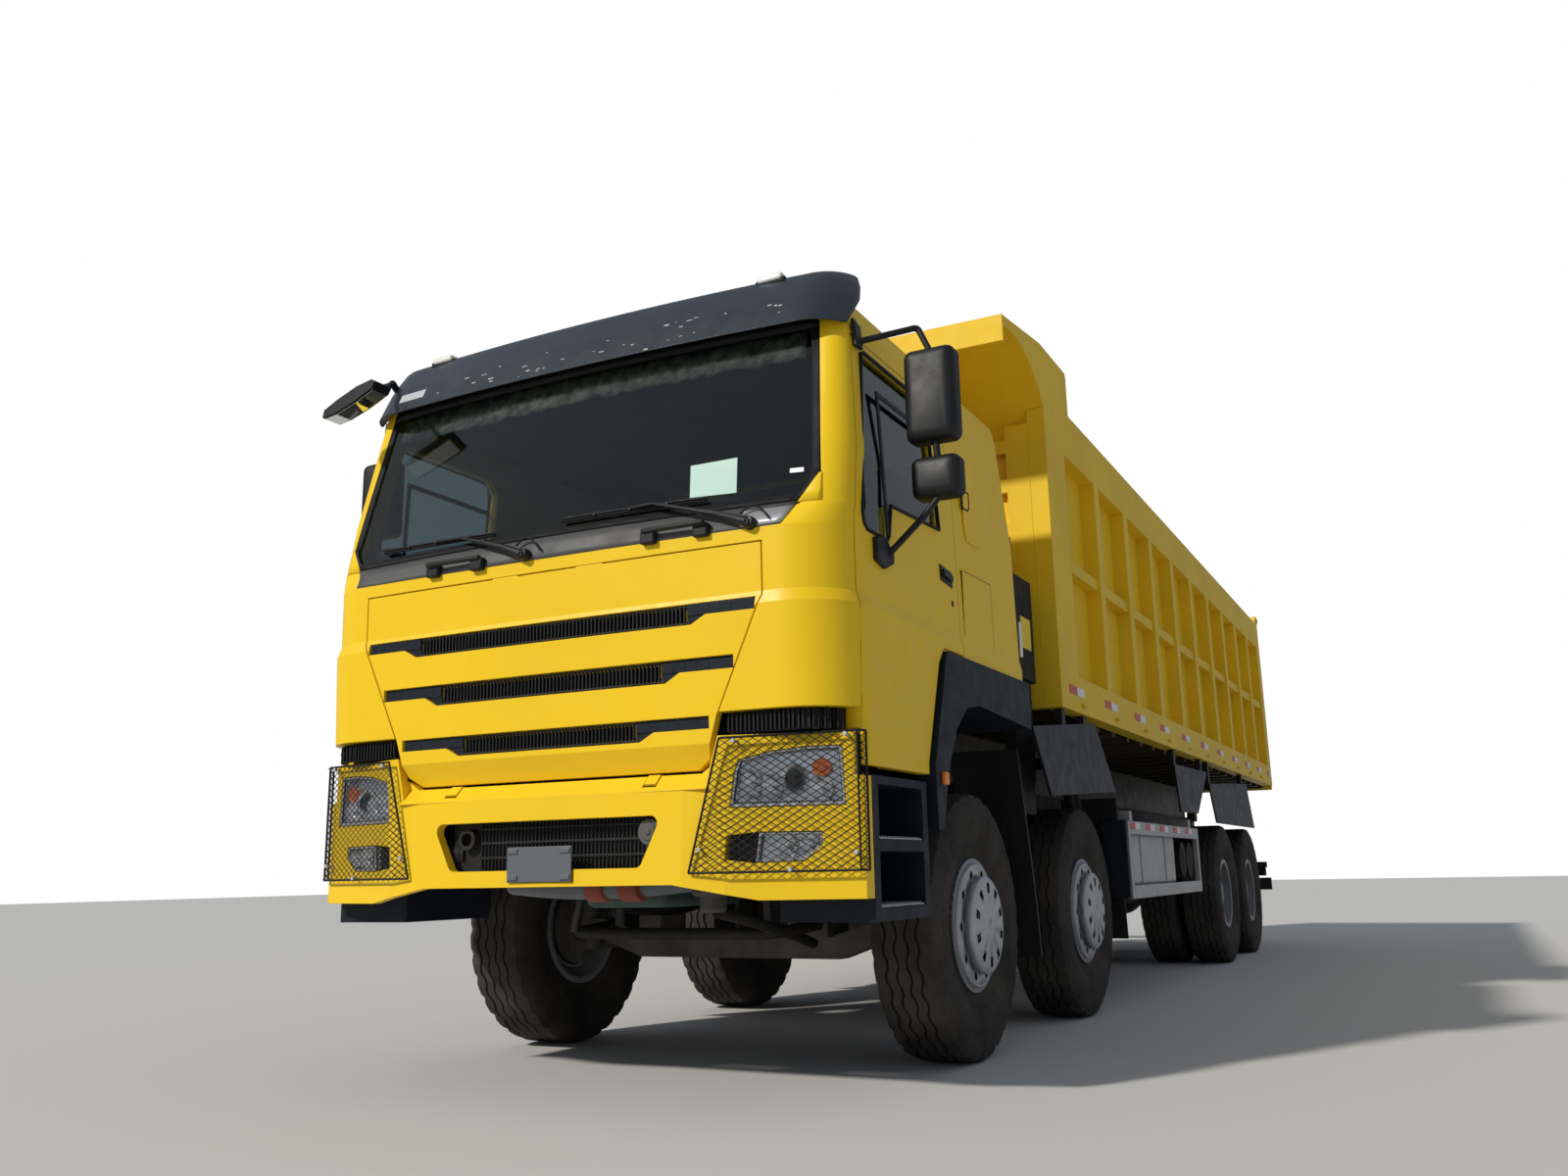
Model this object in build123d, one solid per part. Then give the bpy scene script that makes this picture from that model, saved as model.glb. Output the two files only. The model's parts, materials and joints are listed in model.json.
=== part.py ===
from build123d import *
import math
import os

os.makedirs("parts", exist_ok=True)

# Millimetres. X points to the truck's left, Z up from the ground, and Y rearwards from the
# first axle. The export moves Y so that it starts from the middle of the overall length.
OVERALL_LENGTH = 10990.0
FRONT_OVERHANG = 1550.0
MIRROR_SPAN = 3000.0
SEAT = 0.3
RUN_GAP = 8.0

# Axles and wheels
AXLE_SPACINGS = (1800.0, 4250.0, 1350.0)
AXLE_1, AXLE_2, AXLE_3, AXLE_4 = [sum(AXLE_SPACINGS[:n]) for n in range(4)]
TYRE_RADIUS = 550.0
TYRE_WIDTH = 300.0
RIM_FLANGE_RADIUS = 275.0
RIM_SEAT_RADIUS = 256.0
RIM_WALL = 14.0
RIM_WIDTH = 238.0
FRONT_TRACK = 2022.0
REAR_TRACK = 1830.0
TWIN_SPACING = 340.0
TWIN_DISH = 76.0
HAND_HOLES = 10
HAND_HOLE_RADIUS = 19.0
HAND_HOLE_CIRCLE = 216.0
CAP_RADIUS = 190.0
CAP_FACE = 1190.0
CAP_SLOTS = 10
DRUM_RADIUS = 202.0
SPINDLE_RADIUS = 42.0
KINGPIN_X = 850.0
KINGPIN_BOSS_RADIUS = 50.0
KINGPIN_BOSS_HEIGHT = 140.0
KNUCKLE_LUG = 46.0
STEER_ARM = 230.0
STEER_ARM_INSET = 60.0
TRACK_ROD_RADIUS = 27.0

# Ladder frame and subframe
RAIL_OUT = 425.0
RAIL_FLANGE = 80.0
RAIL_WALL = 9.0
RAIL_BOTTOM = 800.0
RAIL_TOP = 1120.0
FRAME_FRONT = -1340.0
FRAME_REAR = 9060.0
SUBFRAME_FRONT = 1060.0
SUBFRAME_TOP = 1270.0
SUBFRAME_WIDTH = 100.0
SPRING_X = 430.0
SPRING_WIDTH = 90.0
SPRING_REACH = 790.0
REAR_SPRING_X = 510.0
FRONT_SPRING_SEAT = 596.0
FRONT_SPRING_EYE_Z = 735.0
SPRING_EYE_RADIUS = 30.0
SPRING_EYE_DROP = 6.0
SPRING_PACK = 96.0
SPRING_LEAF = 22.0
REAR_SPRING_SEAT = 800.0
TRUNNION_RADIUS = 60.0
CROSS_HALF = 45.0
TORQUE_ROD_Z = 880.0
REAR_AXLE_BOX = 76.0

# Cab shell: section height, half width, front centre, front bow, corner radius, rear face
CAB_WALL = 52.0
CAB_REAR = 610.0
CAB_SECTIONS = (
    (1100.0, 1226.0, -1420.0, 15.0, 180.0, 0.0),
    (1225.0, 1226.6, -1492.0, 15.0, 250.0, 0.0),
    (1700.0, 1229.0, -1512.0, 15.0, 250.0, 0.0),
    (1745.0, 1218.0, -1500.0, 15.0, 250.0, 0.0),
    (1975.0, 1214.0, -1506.0, 18.0, 240.0, 0.0),
    (2060.0, 1212.0, -1484.0, 60.0, 140.0, 0.0),
    (2300.0, 1208.0, -1424.0, 58.0, 120.0, 0.0),
    (2840.0, 1156.0, -1290.0, 52.0, 80.0, 0.0),
)
ROOF_SECTIONS = (
    (2840.0, 1156.0, -1290.0, 52.0, 80.0, 0.0),
    (2915.0, 1142.0, -1262.0, 55.0, 90.0, 6.0),
    (3000.0, 1060.0, -1150.0, 60.0, 120.0, 60.0),
    (3035.0, 900.0, -980.0, 60.0, 140.0, 180.0),
)
CAB_MID_Y = -1100.0
SHELL_IN = 1160.0
DOOR_FRONT = -1312.0
DOOR_REAR = -260.0
DOOR_BOTTOM = 1130.0
DOOR_TOP = 2770.0
DOOR_TOP_FRONT = -1190.0
DOOR_GAP = 6.0
WINDOW_SILL_FRONT = 1988.0
WINDOW_STEP_Y = -1010.0
WINDOW_SILL_REAR = 2160.0
WINDOW_TOP = 2722.0
WINDOW_FRAME = 75.0
SCREEN_BOTTOM = 2078.0
SCREEN_TOP = 2822.0
SCREEN_HALF_BOTTOM = 1127.0
SCREEN_HALF_TOP = 1062.0
GLASS = 8.0
FLAP_TOP = 1928.0
FLAP_BOTTOM = 1137.0
FLAP_HALF_TOP = 930.0
FLAP_HALF_SEAM = 745.0
FLAP_HALF_BOTTOM = 700.0
FLAP_SEAM_Z = 1325.0
FLAP_CORNER_Z = 1175.0
FLAP_THICK = 36.0
FLAP_GAP = 6.0
CORNER_PANEL_BOTTOM = 1333.0
ARCH_TRIM_TOP = 1640.0
ARCH_INNER_TOP = 1455.0
ARCH_FRONT = -690.0
CAB_PIVOT_Y = -1400.0
CAB_PIVOT_Z = 870.0
CAB_LUG_RADIUS = 45.0
CAB_PIN_RADIUS = 25.0
LUG_GAP = 11.0
LUG_WIDTH = 40.0
SLOT_ROOM = 10.0
TOW_X = 385.0
TOW_Z = 925.0
TOW_FACE = -1462.0
TOW_BOSS_RADIUS = 40.0
TOW_BORE_RADIUS = 25.0
TOW_BORE_DEPTH = 75.0
HINGE_BARREL = 5.6
DOOR_HINGE_X = 1216.0
DOOR_HINGE_LOWS = (1380.0, 1570.0)
FLAP_HINGE_X = 200.0
FLAP_HINGE_Y = -1498.5
SLOT_DEPTH = 22.0
SLOTS = ((1650.0, 1727.0, 902.0, 644.0), (1448.0, 1530.0, 812.0, 533.0),
         (1245.0, 1322.0, 708.0, 420.0))
VISOR_BOW = 95.0
VISOR_HALF = 1150.0
VISOR_FACE = -1374.0
VISOR_THICK = 20.0
BULKHEAD_Y = -1400.0
DASH_FRONT = BULKHEAD_Y + 14.0 + SEAT
WIPER_Y = -FRONT_OVERHANG + 9.0
MIRROR_OUT = MIRROR_SPAN / 2
MIRROR_WIDTH = 205.0
SILL_Z = 1290.0
FLOOR_Z = 1468.0
TUNNEL_Z = 1650.0
TUNNEL_HALF = 470.0
FLOOR_SHEET = 14.0

# Bumper, lamps and steps
BUMPER_TOP = 1071.0
BUMPER_BOTTOM = 745.0
BUMPER_CORNER_BOTTOM = 690.0
BUMPER_HALF = 1225.0
BUMPER_FACE = -1505.0
BUMPER_SIDE_Y = -1335.0
BUMPER_BACK = -1272.0
BUMPER_SHOULDER = 1100.0
POD_OUTER = 1196.0
POD_SET = 30.0
POD_REAR = -1326.0
BUMPER_WALL = 40.0
POD_TOP = 1251.0
POD_BOTTOM = 781.0
POD_INNER_TOP = 757.0
POD_INNER_BOTTOM = 631.0
SHELF_TOP = 1126.0
HEAD_HOLE = ((776.0, 1000.0), (792.0, 1120.0), (806.0, 1165.0), (920.0, 1192.0),
             (1040.0, 1204.0), (1158.0, 1204.0), (1166.0, 1000.0))
FOG_HOLE = ((757.0, 826.0), (766.0, 908.0), (873.0, 918.0), (1087.0, 916.0),
            (1086.0, 870.0), (1022.0, 817.0), (860.0, 814.0))
GUARD_BAR = 14.0
GUARD_PITCH = 74.0
GUARD_WIRE = 4.5
GUARD_THICK = 6.0
GUARD_PROUD = 28.0
STEP_FRONT = -1262.0
STEP_REAR = -748.0
STEP_TOP = 1105.0
STEP_BOTTOM = 611.0

# Driveline, tanks and guards on the frame
RADIATOR_FRONT = -1330.0
RADIATOR_TOP = 1600.0
GEARBOX_REAR = 700.0
SHAFT_Z = 890.0
SHAFT_RADIUS = 50.0
BEARINGS = (2700.0, 4200.0)
TANK_FRONT = 2780.0
TANK_REAR = 4120.0
GUARD_FRONT = 2500.0
GUARD_REAR = 4770.0
GUARD_LOW = 590.0
GUARD_HIGH = 1045.0
GUARD_X = 1205.0
FLAP_STRIP_X0 = 850.0
FLAP_STRIP_X1 = 1185.0
OIL_TANK = (560.0, 1150.0, 740.0, 1090.0, 1704.0, 2225.0)
CROSS_LOW = 970.0
AXLE_NOSE = 320.0
AXLE_TAIL = 250.0
PINION_Z = TYRE_RADIUS + 60.0

# Dump bed
BED_HALF = 1248.0
BED_FRONT = 1175.0
BED_REAR = 9377.0
BED_WALL = 96.0
BED_SHEET = 10.0
BED_BOTTOM = 1589.0
BED_FLOOR_TOP = 1662.0
BED_SIDE_TOP = 3327.0
BED_FRONT_TOP = 3590.0
BED_SHOULDER_REAR = 1700.0
POCKET_BOTTOM = 1802.0
POCKET_TOP = 3051.0
MID_RAIL_BOTTOM = 2385.0
MID_RAIL_TOP = 2465.0
FIRST_POCKET = 1549.0
BAY_PITCH = 772.0
BAYS = 10
POST_WIDTH = 120.0
CANOPY_TIP = 505.0
CANOPY_TIP_TOP = 3496.0
CANOPY_TIP_BOTTOM = 3355.0
CANOPY_ROOT = 3143.0
HEADBOARD_THICK = 80.0
RECESS_HALF = 235.0
RECESS_DEPTH = 275.0
RECESS_TOP = 2300.0
BED_HINGE_Y = 8950.0
BED_HINGE_Z = 1285.0
HINGE_PIN_RADIUS = 32.0
HINGE_LUG = 60.0
TAILGATE_PIN_Y = BED_REAR + RUN_GAP + 22.0
TAILGATE_PIN_Z = 3375.0

# Hoist at the front of the bed
HOIST_Y = 900.0
HOIST_PIVOT_Z = 1160.0
HOIST_EYE_Z = 2950.0
BARREL_BOTTOM = 1010.0
BARREL_TOP = 2810.0
BARREL_RADIUS = 116.0
HOIST_WALL = 8.0
HOIST_FIT = 3.0
HOIST_STAGES = 4
STAGE_STEP = 14.0
STAGE_FLOOR = 9.0
BARREL_FLOOR = 40.0
HOIST_PIN_RADIUS = 36.0
EYE_CHEEK_X = 67.0


def box(x0, x1, y0, y1, z0, z1):
    """A block between two corners."""
    centre = Pos((x0 + x1) / 2, (y0 + y1) / 2, (z0 + z1) / 2)
    return centre * Box(abs(x1 - x0), abs(y1 - y0), abs(z1 - z0))


def prism_x(corners, x0, x1):
    """A side outline of (y, z) corners carried across from x0 to x1."""
    face = make_face(Polyline(*[(x0, y, z) for y, z in corners], close=True))
    return extrude(face, amount=abs(x1 - x0), dir=(math.copysign(1, x1 - x0), 0, 0))


def prism_y(corners, y0, y1):
    """A front outline of (x, z) corners carried back from y0 to y1."""
    face = make_face(Polyline(*[(x, y0, z) for x, z in corners], close=True))
    return extrude(face, amount=abs(y1 - y0), dir=(0, math.copysign(1, y1 - y0), 0))


def prism_z(corners, z0, z1):
    """A plan outline of (x, y) corners carried up from z0 to z1."""
    face = make_face(Polyline(*[(x, y, z0) for x, y in corners], close=True))
    return extrude(face, amount=abs(z1 - z0), dir=(0, 0, math.copysign(1, z1 - z0)))


def rod(start, end, radius):
    """A round bar between two points."""
    run = Vector(*end) - Vector(*start)
    return Solid.make_cylinder(radius, run.length, Plane(origin=start, z_dir=run))


def turned(corners, y, z):
    """Corners of (x, radius) turned about a crosswise axis at y, z."""
    face = make_face(Polyline(*[(x, 0, r) for x, r in corners], close=True))
    return Pos(0, y, z) * revolve(face, Axis.X, 360)


def other_side(shape):
    """The same shape on the truck's right."""
    return mirror(shape, about=Plane.YZ)


def both_sides(shape):
    """A shape with its mirror image, as separate pieces."""
    return [shape, other_side(shape)]


def joined(shapes):
    """One solid from shapes that meet."""
    whole = shapes[0]
    for shape in shapes[1:]:
        whole = whole + shape
    return whole


def tyre(centre):
    """A tyre with sloping shoulders round a rim that is centred at x."""
    half = TYRE_WIDTH / 2
    bead = RIM_SEAT_RADIUS + SEAT
    lip = RIM_WIDTH / 2 - 12.0 - SEAT
    corners = [
        (centre - lip, bead), (centre - lip, RIM_FLANGE_RADIUS + 3.0),
        (centre - half, TYRE_RADIUS * 0.74), (centre - half + 6, TYRE_RADIUS - 46),
        (centre - half + 24, TYRE_RADIUS - 6), (centre - half + 60, TYRE_RADIUS),
        (centre + half - 60, TYRE_RADIUS), (centre + half - 24, TYRE_RADIUS - 6),
        (centre + half - 6, TYRE_RADIUS - 46), (centre + half, TYRE_RADIUS * 0.74),
        (centre + lip, RIM_FLANGE_RADIUS + 3.0), (centre + lip, bead),
    ]
    return corners


def rim(centre, disc_x, disc_slope):
    """Rim barrel, flanges and dished disc, in one closed profile about X."""
    half = RIM_WIDTH / 2
    inner = RIM_SEAT_RADIUS - RIM_WALL
    barrel = [
        (centre - half, inner), (centre - half, RIM_FLANGE_RADIUS),
        (centre - half + 12, RIM_FLANGE_RADIUS), (centre - half + 12, RIM_SEAT_RADIUS),
        (centre + half - 12, RIM_SEAT_RADIUS), (centre + half - 12, RIM_FLANGE_RADIUS),
        (centre + half, RIM_FLANGE_RADIUS), (centre + half, inner),
    ]
    disc = [
        (disc_x, 60.0), (disc_x + RIM_WALL, 60.0), (disc_x + RIM_WALL, 175.0),
        (disc_x + RIM_WALL + disc_slope, inner + 1), (disc_x + disc_slope, inner + 1),
        (disc_x, 175.0),
    ]
    return barrel, disc


def hand_holes(x0, x1, y, z):
    """The round holes through a wheel disc."""
    holes = []
    for n in range(HAND_HOLES):
        turn = math.tau * (n + 0.5) / HAND_HOLES
        hy = y + HAND_HOLE_CIRCLE * math.cos(turn)
        hz = z + HAND_HOLE_CIRCLE * math.sin(turn)
        holes.append(rod((x0, hy, hz), (x1, hy, hz), HAND_HOLE_RADIUS))
    return holes


def front_wheel(axle):
    """A single wheel: tyre, and rim with drum, hub and slotted cap."""
    centre = FRONT_TRACK / 2
    disc_x = centre + RIM_WIDTH / 2 - 62.0
    barrel, disc = rim(centre, disc_x, 24.0)
    metal = turned(barrel, axle, TYRE_RADIUS) + turned(disc, axle, TYRE_RADIUS)
    bore = SPINDLE_RADIUS + SEAT
    hub = turned([(KINGPIN_X + 100, bore), (KINGPIN_X + 100, 78.0), (disc_x + 20, 78.0),
                  (disc_x + 20, 110.0), (CAP_FACE - 14, 110.0), (CAP_FACE - 14, 0.0),
                  (CAP_FACE - 26, 0.0), (CAP_FACE - 26, bore)], axle, TYRE_RADIUS)
    drum = turned([(KINGPIN_X + 92, DRUM_RADIUS - 16), (KINGPIN_X + 92, DRUM_RADIUS),
                   (disc_x - 14, DRUM_RADIUS), (disc_x, 150.0), (disc_x, 70.0),
                   (disc_x - 14, 70.0), (disc_x - 26, DRUM_RADIUS - 16)], axle, TYRE_RADIUS)
    cap = turned([(disc_x + RIM_WALL - 1, CAP_RADIUS - 12), (disc_x + RIM_WALL + 12, CAP_RADIUS),
                  (CAP_FACE - 22, CAP_RADIUS - 8), (CAP_FACE, CAP_RADIUS - 60), (CAP_FACE, 0.0),
                  (CAP_FACE - 14, 0.0), (CAP_FACE - 14, CAP_RADIUS - 66),
                  (CAP_FACE - 34, CAP_RADIUS - 20)], axle, TYRE_RADIUS)
    for n in range(CAP_SLOTS):
        slot = Pos(CAP_FACE - 6, 0, CAP_RADIUS - 92) * Box(30, 22, 40)
        cap = cap - Pos(0, axle, TYRE_RADIUS) * Rot(360 * n / CAP_SLOTS, 0, 0) * slot
    metal = metal + hub + drum + cap
    for hole in hand_holes(disc_x - 4, disc_x + 46, axle, TYRE_RADIUS):
        metal = metal - hole
    return [turned(tyre(centre), axle, TYRE_RADIUS), metal]


def twin_wheel(axle):
    """Twin rear tyres on two rims that share a hub and drum."""
    inner_x = REAR_TRACK / 2 - TWIN_SPACING / 2
    outer_x = REAR_TRACK / 2 + TWIN_SPACING / 2
    mid = REAR_TRACK / 2
    pieces = []
    for centre, disc_x, slope in ((inner_x, mid - RIM_WALL, -TWIN_DISH), (outer_x, mid, TWIN_DISH)):
        barrel, disc = rim(centre, disc_x, slope)
        pieces.append(turned(barrel, axle, TYRE_RADIUS))
        pieces.append(turned(disc, axle, TYRE_RADIUS))
    bore = SPINDLE_RADIUS + SEAT
    hub = turned([(inner_x - 60, bore), (inner_x - 60, 84.0), (mid - 20, 84.0), (mid - 20, 150.0),
                  (mid + 40, 150.0), (mid + 60, 118.0), (outer_x + 70, 112.0),
                  (outer_x + 84, 96.0), (outer_x + 84, 0.0), (outer_x + 66, 0.0),
                  (outer_x + 66, bore)], axle, TYRE_RADIUS)
    drum = turned([(inner_x - 110, DRUM_RADIUS - 16), (inner_x - 110, DRUM_RADIUS),
                   (mid - RIM_WALL - 24, DRUM_RADIUS), (mid - RIM_WALL, 150.0),
                   (mid - RIM_WALL, 70.0), (mid - RIM_WALL - 14, 70.0),
                   (mid - RIM_WALL - 34, DRUM_RADIUS - 16)], axle, TYRE_RADIUS)
    metal = joined(pieces + [hub, drum])
    for hole in hand_holes(mid - 46, mid + 46, axle, TYRE_RADIUS):
        metal = metal - hole
    tyres = [turned(tyre(x), axle, TYRE_RADIUS) for x in (inner_x, outer_x)]
    return tyres + [metal]


def knuckle(axle):
    """Steering knuckle: two lugs on the kingpin, backplate, spindle and steering arm."""
    half = KINGPIN_BOSS_HEIGHT / 2 + SEAT
    low, high = TYRE_RADIUS - half, TYRE_RADIUS + half
    lugs = [rod((KINGPIN_X, axle, z0), (KINGPIN_X, axle, z1), KINGPIN_BOSS_RADIUS)
            for z0, z1 in ((low - KNUCKLE_LUG, low), (high, high + KNUCKLE_LUG))]
    web_x = KINGPIN_X + KINGPIN_BOSS_RADIUS + 6.0
    arms = [box(KINGPIN_X, web_x + 26, axle - 46, axle + 46, z0, z1)
            for z0, z1 in ((low - KNUCKLE_LUG, low), (high, high + KNUCKLE_LUG))]
    web = box(web_x, web_x + 26, axle - 60, axle + 60, low - KNUCKLE_LUG, high + KNUCKLE_LUG)
    plate = rod((web_x + 14, axle, TYRE_RADIUS), (web_x + 26, axle, TYRE_RADIUS),
                DRUM_RADIUS - 20)
    spindle = rod((web_x + 20, axle, TYRE_RADIUS),
                  (CAP_FACE - 40, axle, TYRE_RADIUS), SPINDLE_RADIUS)
    arm_low = low - KNUCKLE_LUG
    arm = prism_z([(KINGPIN_X - 30, axle + 20), (KINGPIN_X + 40, axle + 20),
                   (KINGPIN_X - STEER_ARM_INSET + 26, axle + STEER_ARM + 30),
                   (KINGPIN_X - STEER_ARM_INSET - 30, axle + STEER_ARM + 30)],
                  arm_low, arm_low + 30)
    return joined(lugs + arms + [web, plate, spindle, arm])


def track_rod(axle):
    """Rod across an axle between the steering arms, with its two end eyes."""
    end_x = KINGPIN_X - STEER_ARM_INSET
    arm_top = TYRE_RADIUS - KINGPIN_BOSS_HEIGHT / 2 - SEAT - KNUCKLE_LUG + 30
    z = arm_top + 2 * SEAT + TRACK_ROD_RADIUS
    y = axle + STEER_ARM
    bar = rod((-end_x, y, z), (end_x, y, z), TRACK_ROD_RADIUS - 4)
    eyes = [rod((side * end_x, y, arm_top + 2 * SEAT), (side * end_x, y, z + 26), 36.0)
            for side in (-1, 1)]
    clamps = [rod((side * (end_x - 130), y, z), (side * (end_x - 70), y, z), TRACK_ROD_RADIUS)
              for side in (-1, 1)]
    return joined([bar] + eyes + clamps)


def front_axle_beam(axle):
    """Dropped beam with a boss for the kingpin at each end and a pad under each spring."""
    top = TYRE_RADIUS + 30
    half = [(0.0, top - 70), (SPRING_X + 70, top - 70), (KINGPIN_X - 110, top),
            (KINGPIN_X, top), (KINGPIN_X, top - 80), (KINGPIN_X - 90, top - 90),
            (SPRING_X + 90, top - 175), (0.0, top - 175)]
    beam = prism_y(half, axle - 48, axle + 48)
    beam = beam + other_side(beam)
    for side in (-1, 1):
        boss = rod((side * KINGPIN_X, axle, TYRE_RADIUS - KINGPIN_BOSS_HEIGHT / 2),
                   (side * KINGPIN_X, axle, TYRE_RADIUS + KINGPIN_BOSS_HEIGHT / 2),
                   KINGPIN_BOSS_RADIUS)
        pad = box(side * (SPRING_X - 60), side * (SPRING_X + 60), axle - 110, axle + 110,
                  top - 80, FRONT_SPRING_SEAT)
        beam = beam + boss + pad
    return beam


def leaf_pack(x, y, seat_z, eye_z, reach, width):
    """A bowed pack of leaves that gets shorter towards its seat, with an eye at each end."""
    top = seat_z + SPRING_PACK
    sides = []
    for sign in (-1, 1):
        sides.append([(y + sign * reach, eye_z), (y + sign * reach, eye_z - SPRING_LEAF),
                      (y + sign * reach * 0.62, seat_z + 66),
                      (y + sign * reach * 0.36, seat_z + 22), (y + sign * 120, seat_z)])
    left, right = sides
    main = ThreePointArc((x, y - reach, eye_z), (x, y, top), (x, y + reach, eye_z))
    lower = Polyline(*[(x, a, b) for a, b in left + right[::-1]])
    face = make_face([main, lower])
    pack = extrude(face, amount=width / 2, dir=(1, 0, 0), both=True)
    eye_mid = eye_z - SPRING_EYE_DROP
    eyes = [rod((x - width / 2, y + sign * (reach - 4), eye_mid),
                (x + width / 2, y + sign * (reach - 4), eye_mid), SPRING_EYE_RADIUS)
            for sign in (-1, 1)]
    return joined([pack] + eyes)


def suspension():
    """Leaf packs of the four axles, and the torque rods of the rear pair."""
    pieces = []
    for axle in (AXLE_1, AXLE_2):
        pieces += both_sides(leaf_pack(SPRING_X, axle, FRONT_SPRING_SEAT, FRONT_SPRING_EYE_Z,
                                       SPRING_REACH, SPRING_WIDTH))
    mid = (AXLE_3 + AXLE_4) / 2
    pieces += both_sides(rear_pack(mid))
    for axle, sign in ((AXLE_3, 1), (AXLE_4, -1)):
        start = (0, axle + sign * (40 + SEAT), TORQUE_ROD_Z)
        end = (0, mid - sign * (CROSS_HALF + SEAT), TORQUE_ROD_Z)
        pieces.append(rod(start, end, 32.0))
    return pieces


def rear_pack(mid):
    """The rear leaf pack: clamped over the trunnion, its ends on the two axles."""
    half = (AXLE_4 - AXLE_3) / 2
    rest = TYRE_RADIUS + REAR_AXLE_BOX + SEAT
    tip = half + 90
    x = REAR_SPRING_X
    lower = ThreePointArc((x, mid - tip, rest), (x, mid, REAR_SPRING_SEAT), (x, mid + tip, rest))
    upper = Polyline((x, mid - tip, rest), (x, mid - tip, rest + SPRING_LEAF),
                     (x, mid - half * 0.5, REAR_SPRING_SEAT + 40),
                     (x, mid - 130, REAR_SPRING_SEAT + 130), (x, mid + 130, REAR_SPRING_SEAT + 130),
                     (x, mid + half * 0.5, REAR_SPRING_SEAT + 40),
                     (x, mid + tip, rest + SPRING_LEAF), (x, mid + tip, rest))
    face = make_face([lower, upper])
    return extrude(face, amount=SPRING_WIDTH / 2, dir=(1, 0, 0), both=True)


def rear_axle(axle):
    """Drive axle: square arms, round banjo with its cover, and a spindle at each end."""
    arm_end = REAR_TRACK / 2 - TWIN_SPACING / 2 - 118.0
    arms = box(-arm_end, arm_end, axle - REAR_AXLE_BOX, axle + REAR_AXLE_BOX,
               TYRE_RADIUS - REAR_AXLE_BOX, TYRE_RADIUS + REAR_AXLE_BOX)
    bowl = rod((0, axle - 150, TYRE_RADIUS), (0, axle + 130, TYRE_RADIUS), 215.0)
    nose = rod((0, axle - AXLE_NOSE, PINION_Z), (0, axle - 140, PINION_Z), 95.0)
    tail = rod((0, axle + 120, PINION_Z), (0, axle + AXLE_TAIL, PINION_Z), 70.0)
    spindle = rod((-REAR_TRACK / 2 - 230, axle, TYRE_RADIUS),
                  (REAR_TRACK / 2 + 230, axle, TYRE_RADIUS), SPINDLE_RADIUS)
    bracket = box(-45, 45, axle - 40, axle + 40, TYRE_RADIUS + 150, TORQUE_ROD_Z + 32)
    return joined([arms, bowl, nose, tail, spindle, bracket])


def c_rail():
    """One channel rail, open to the inside."""
    web = box(RAIL_OUT - RAIL_WALL, RAIL_OUT, FRAME_FRONT, FRAME_REAR, RAIL_BOTTOM, RAIL_TOP)
    flanges = [box(RAIL_OUT - RAIL_FLANGE, RAIL_OUT, FRAME_FRONT, FRAME_REAR, z, z + RAIL_WALL)
               for z in (RAIL_BOTTOM, RAIL_TOP - RAIL_WALL)]
    return joined([web] + flanges)


def spring_hanger(x, y, width):
    """Bracket under a rail that takes the pin of a spring eye."""
    low = FRONT_SPRING_EYE_Z - SPRING_EYE_DROP + SPRING_EYE_RADIUS + SEAT
    return box(x - width / 2, x + width / 2, y - 45, y + 45, low, RAIL_BOTTOM)


def frame():
    """Two channel rails with cross members, spring hangers, subframe and hoist cradle."""
    pieces = []
    for side in (-1, 1):
        rail = c_rail()
        pieces.append(rail if side > 0 else other_side(rail))
    # cross member: centre y, bottom z, top z
    inside = RAIL_OUT - RAIL_WALL
    for y, z0, z1 in ((FRAME_FRONT + 60, 830, 1000), (1230, CROSS_LOW, 1111),
                      (BEARINGS[0], CROSS_LOW, 1111), (BEARINGS[1], CROSS_LOW, 1111),
                      (5250, CROSS_LOW, 1111),
                      ((AXLE_3 + AXLE_4) / 2, 830, 1111), (8100, CROSS_LOW, 1111),
                      (FRAME_REAR - 45, 809, 1111)):
        pieces.append(box(-inside, inside, y - CROSS_HALF, y + CROSS_HALF, z0, z1))
    for side in (-1, 1):
        x = side * (RAIL_OUT - SUBFRAME_WIDTH / 2)
        pieces.append(box(x - SUBFRAME_WIDTH / 2, x + SUBFRAME_WIDTH / 2, SUBFRAME_FRONT,
                          FRAME_REAR, RAIL_TOP, SUBFRAME_TOP))
        for axle in (AXLE_1, AXLE_2):
            for end in (-1, 1):
                pieces.append(spring_hanger(side * SPRING_X, axle + end * SPRING_REACH,
                                            SPRING_WIDTH))
        # rear spring saddle: rail to trunnion
        mid = (AXLE_3 + AXLE_4) / 2
        pieces.append(box(side * (RAIL_OUT - 1), side * (REAR_SPRING_X - SPRING_WIDTH / 2 - SEAT),
                          mid - 150, mid + 150, REAR_SPRING_SEAT - 80, RAIL_BOTTOM + 200))
        trunnion_z = REAR_SPRING_SEAT - TRUNNION_RADIUS - SEAT
        pieces.append(rod((side * (RAIL_OUT - 1), mid, trunnion_z),
                          (side * (REAR_SPRING_X + 60), mid, trunnion_z), TRUNNION_RADIUS))
        pieces.append(box(side * (RAIL_OUT - RAIL_FLANGE), side * RAIL_OUT, 470, 560, RAIL_TOP - 1,
                          FLOOR_Z - SEAT))
    pieces += hoist_cradle()
    pieces += bed_hinge_brackets()
    pieces += front_brackets()
    return joined(pieces)


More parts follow.
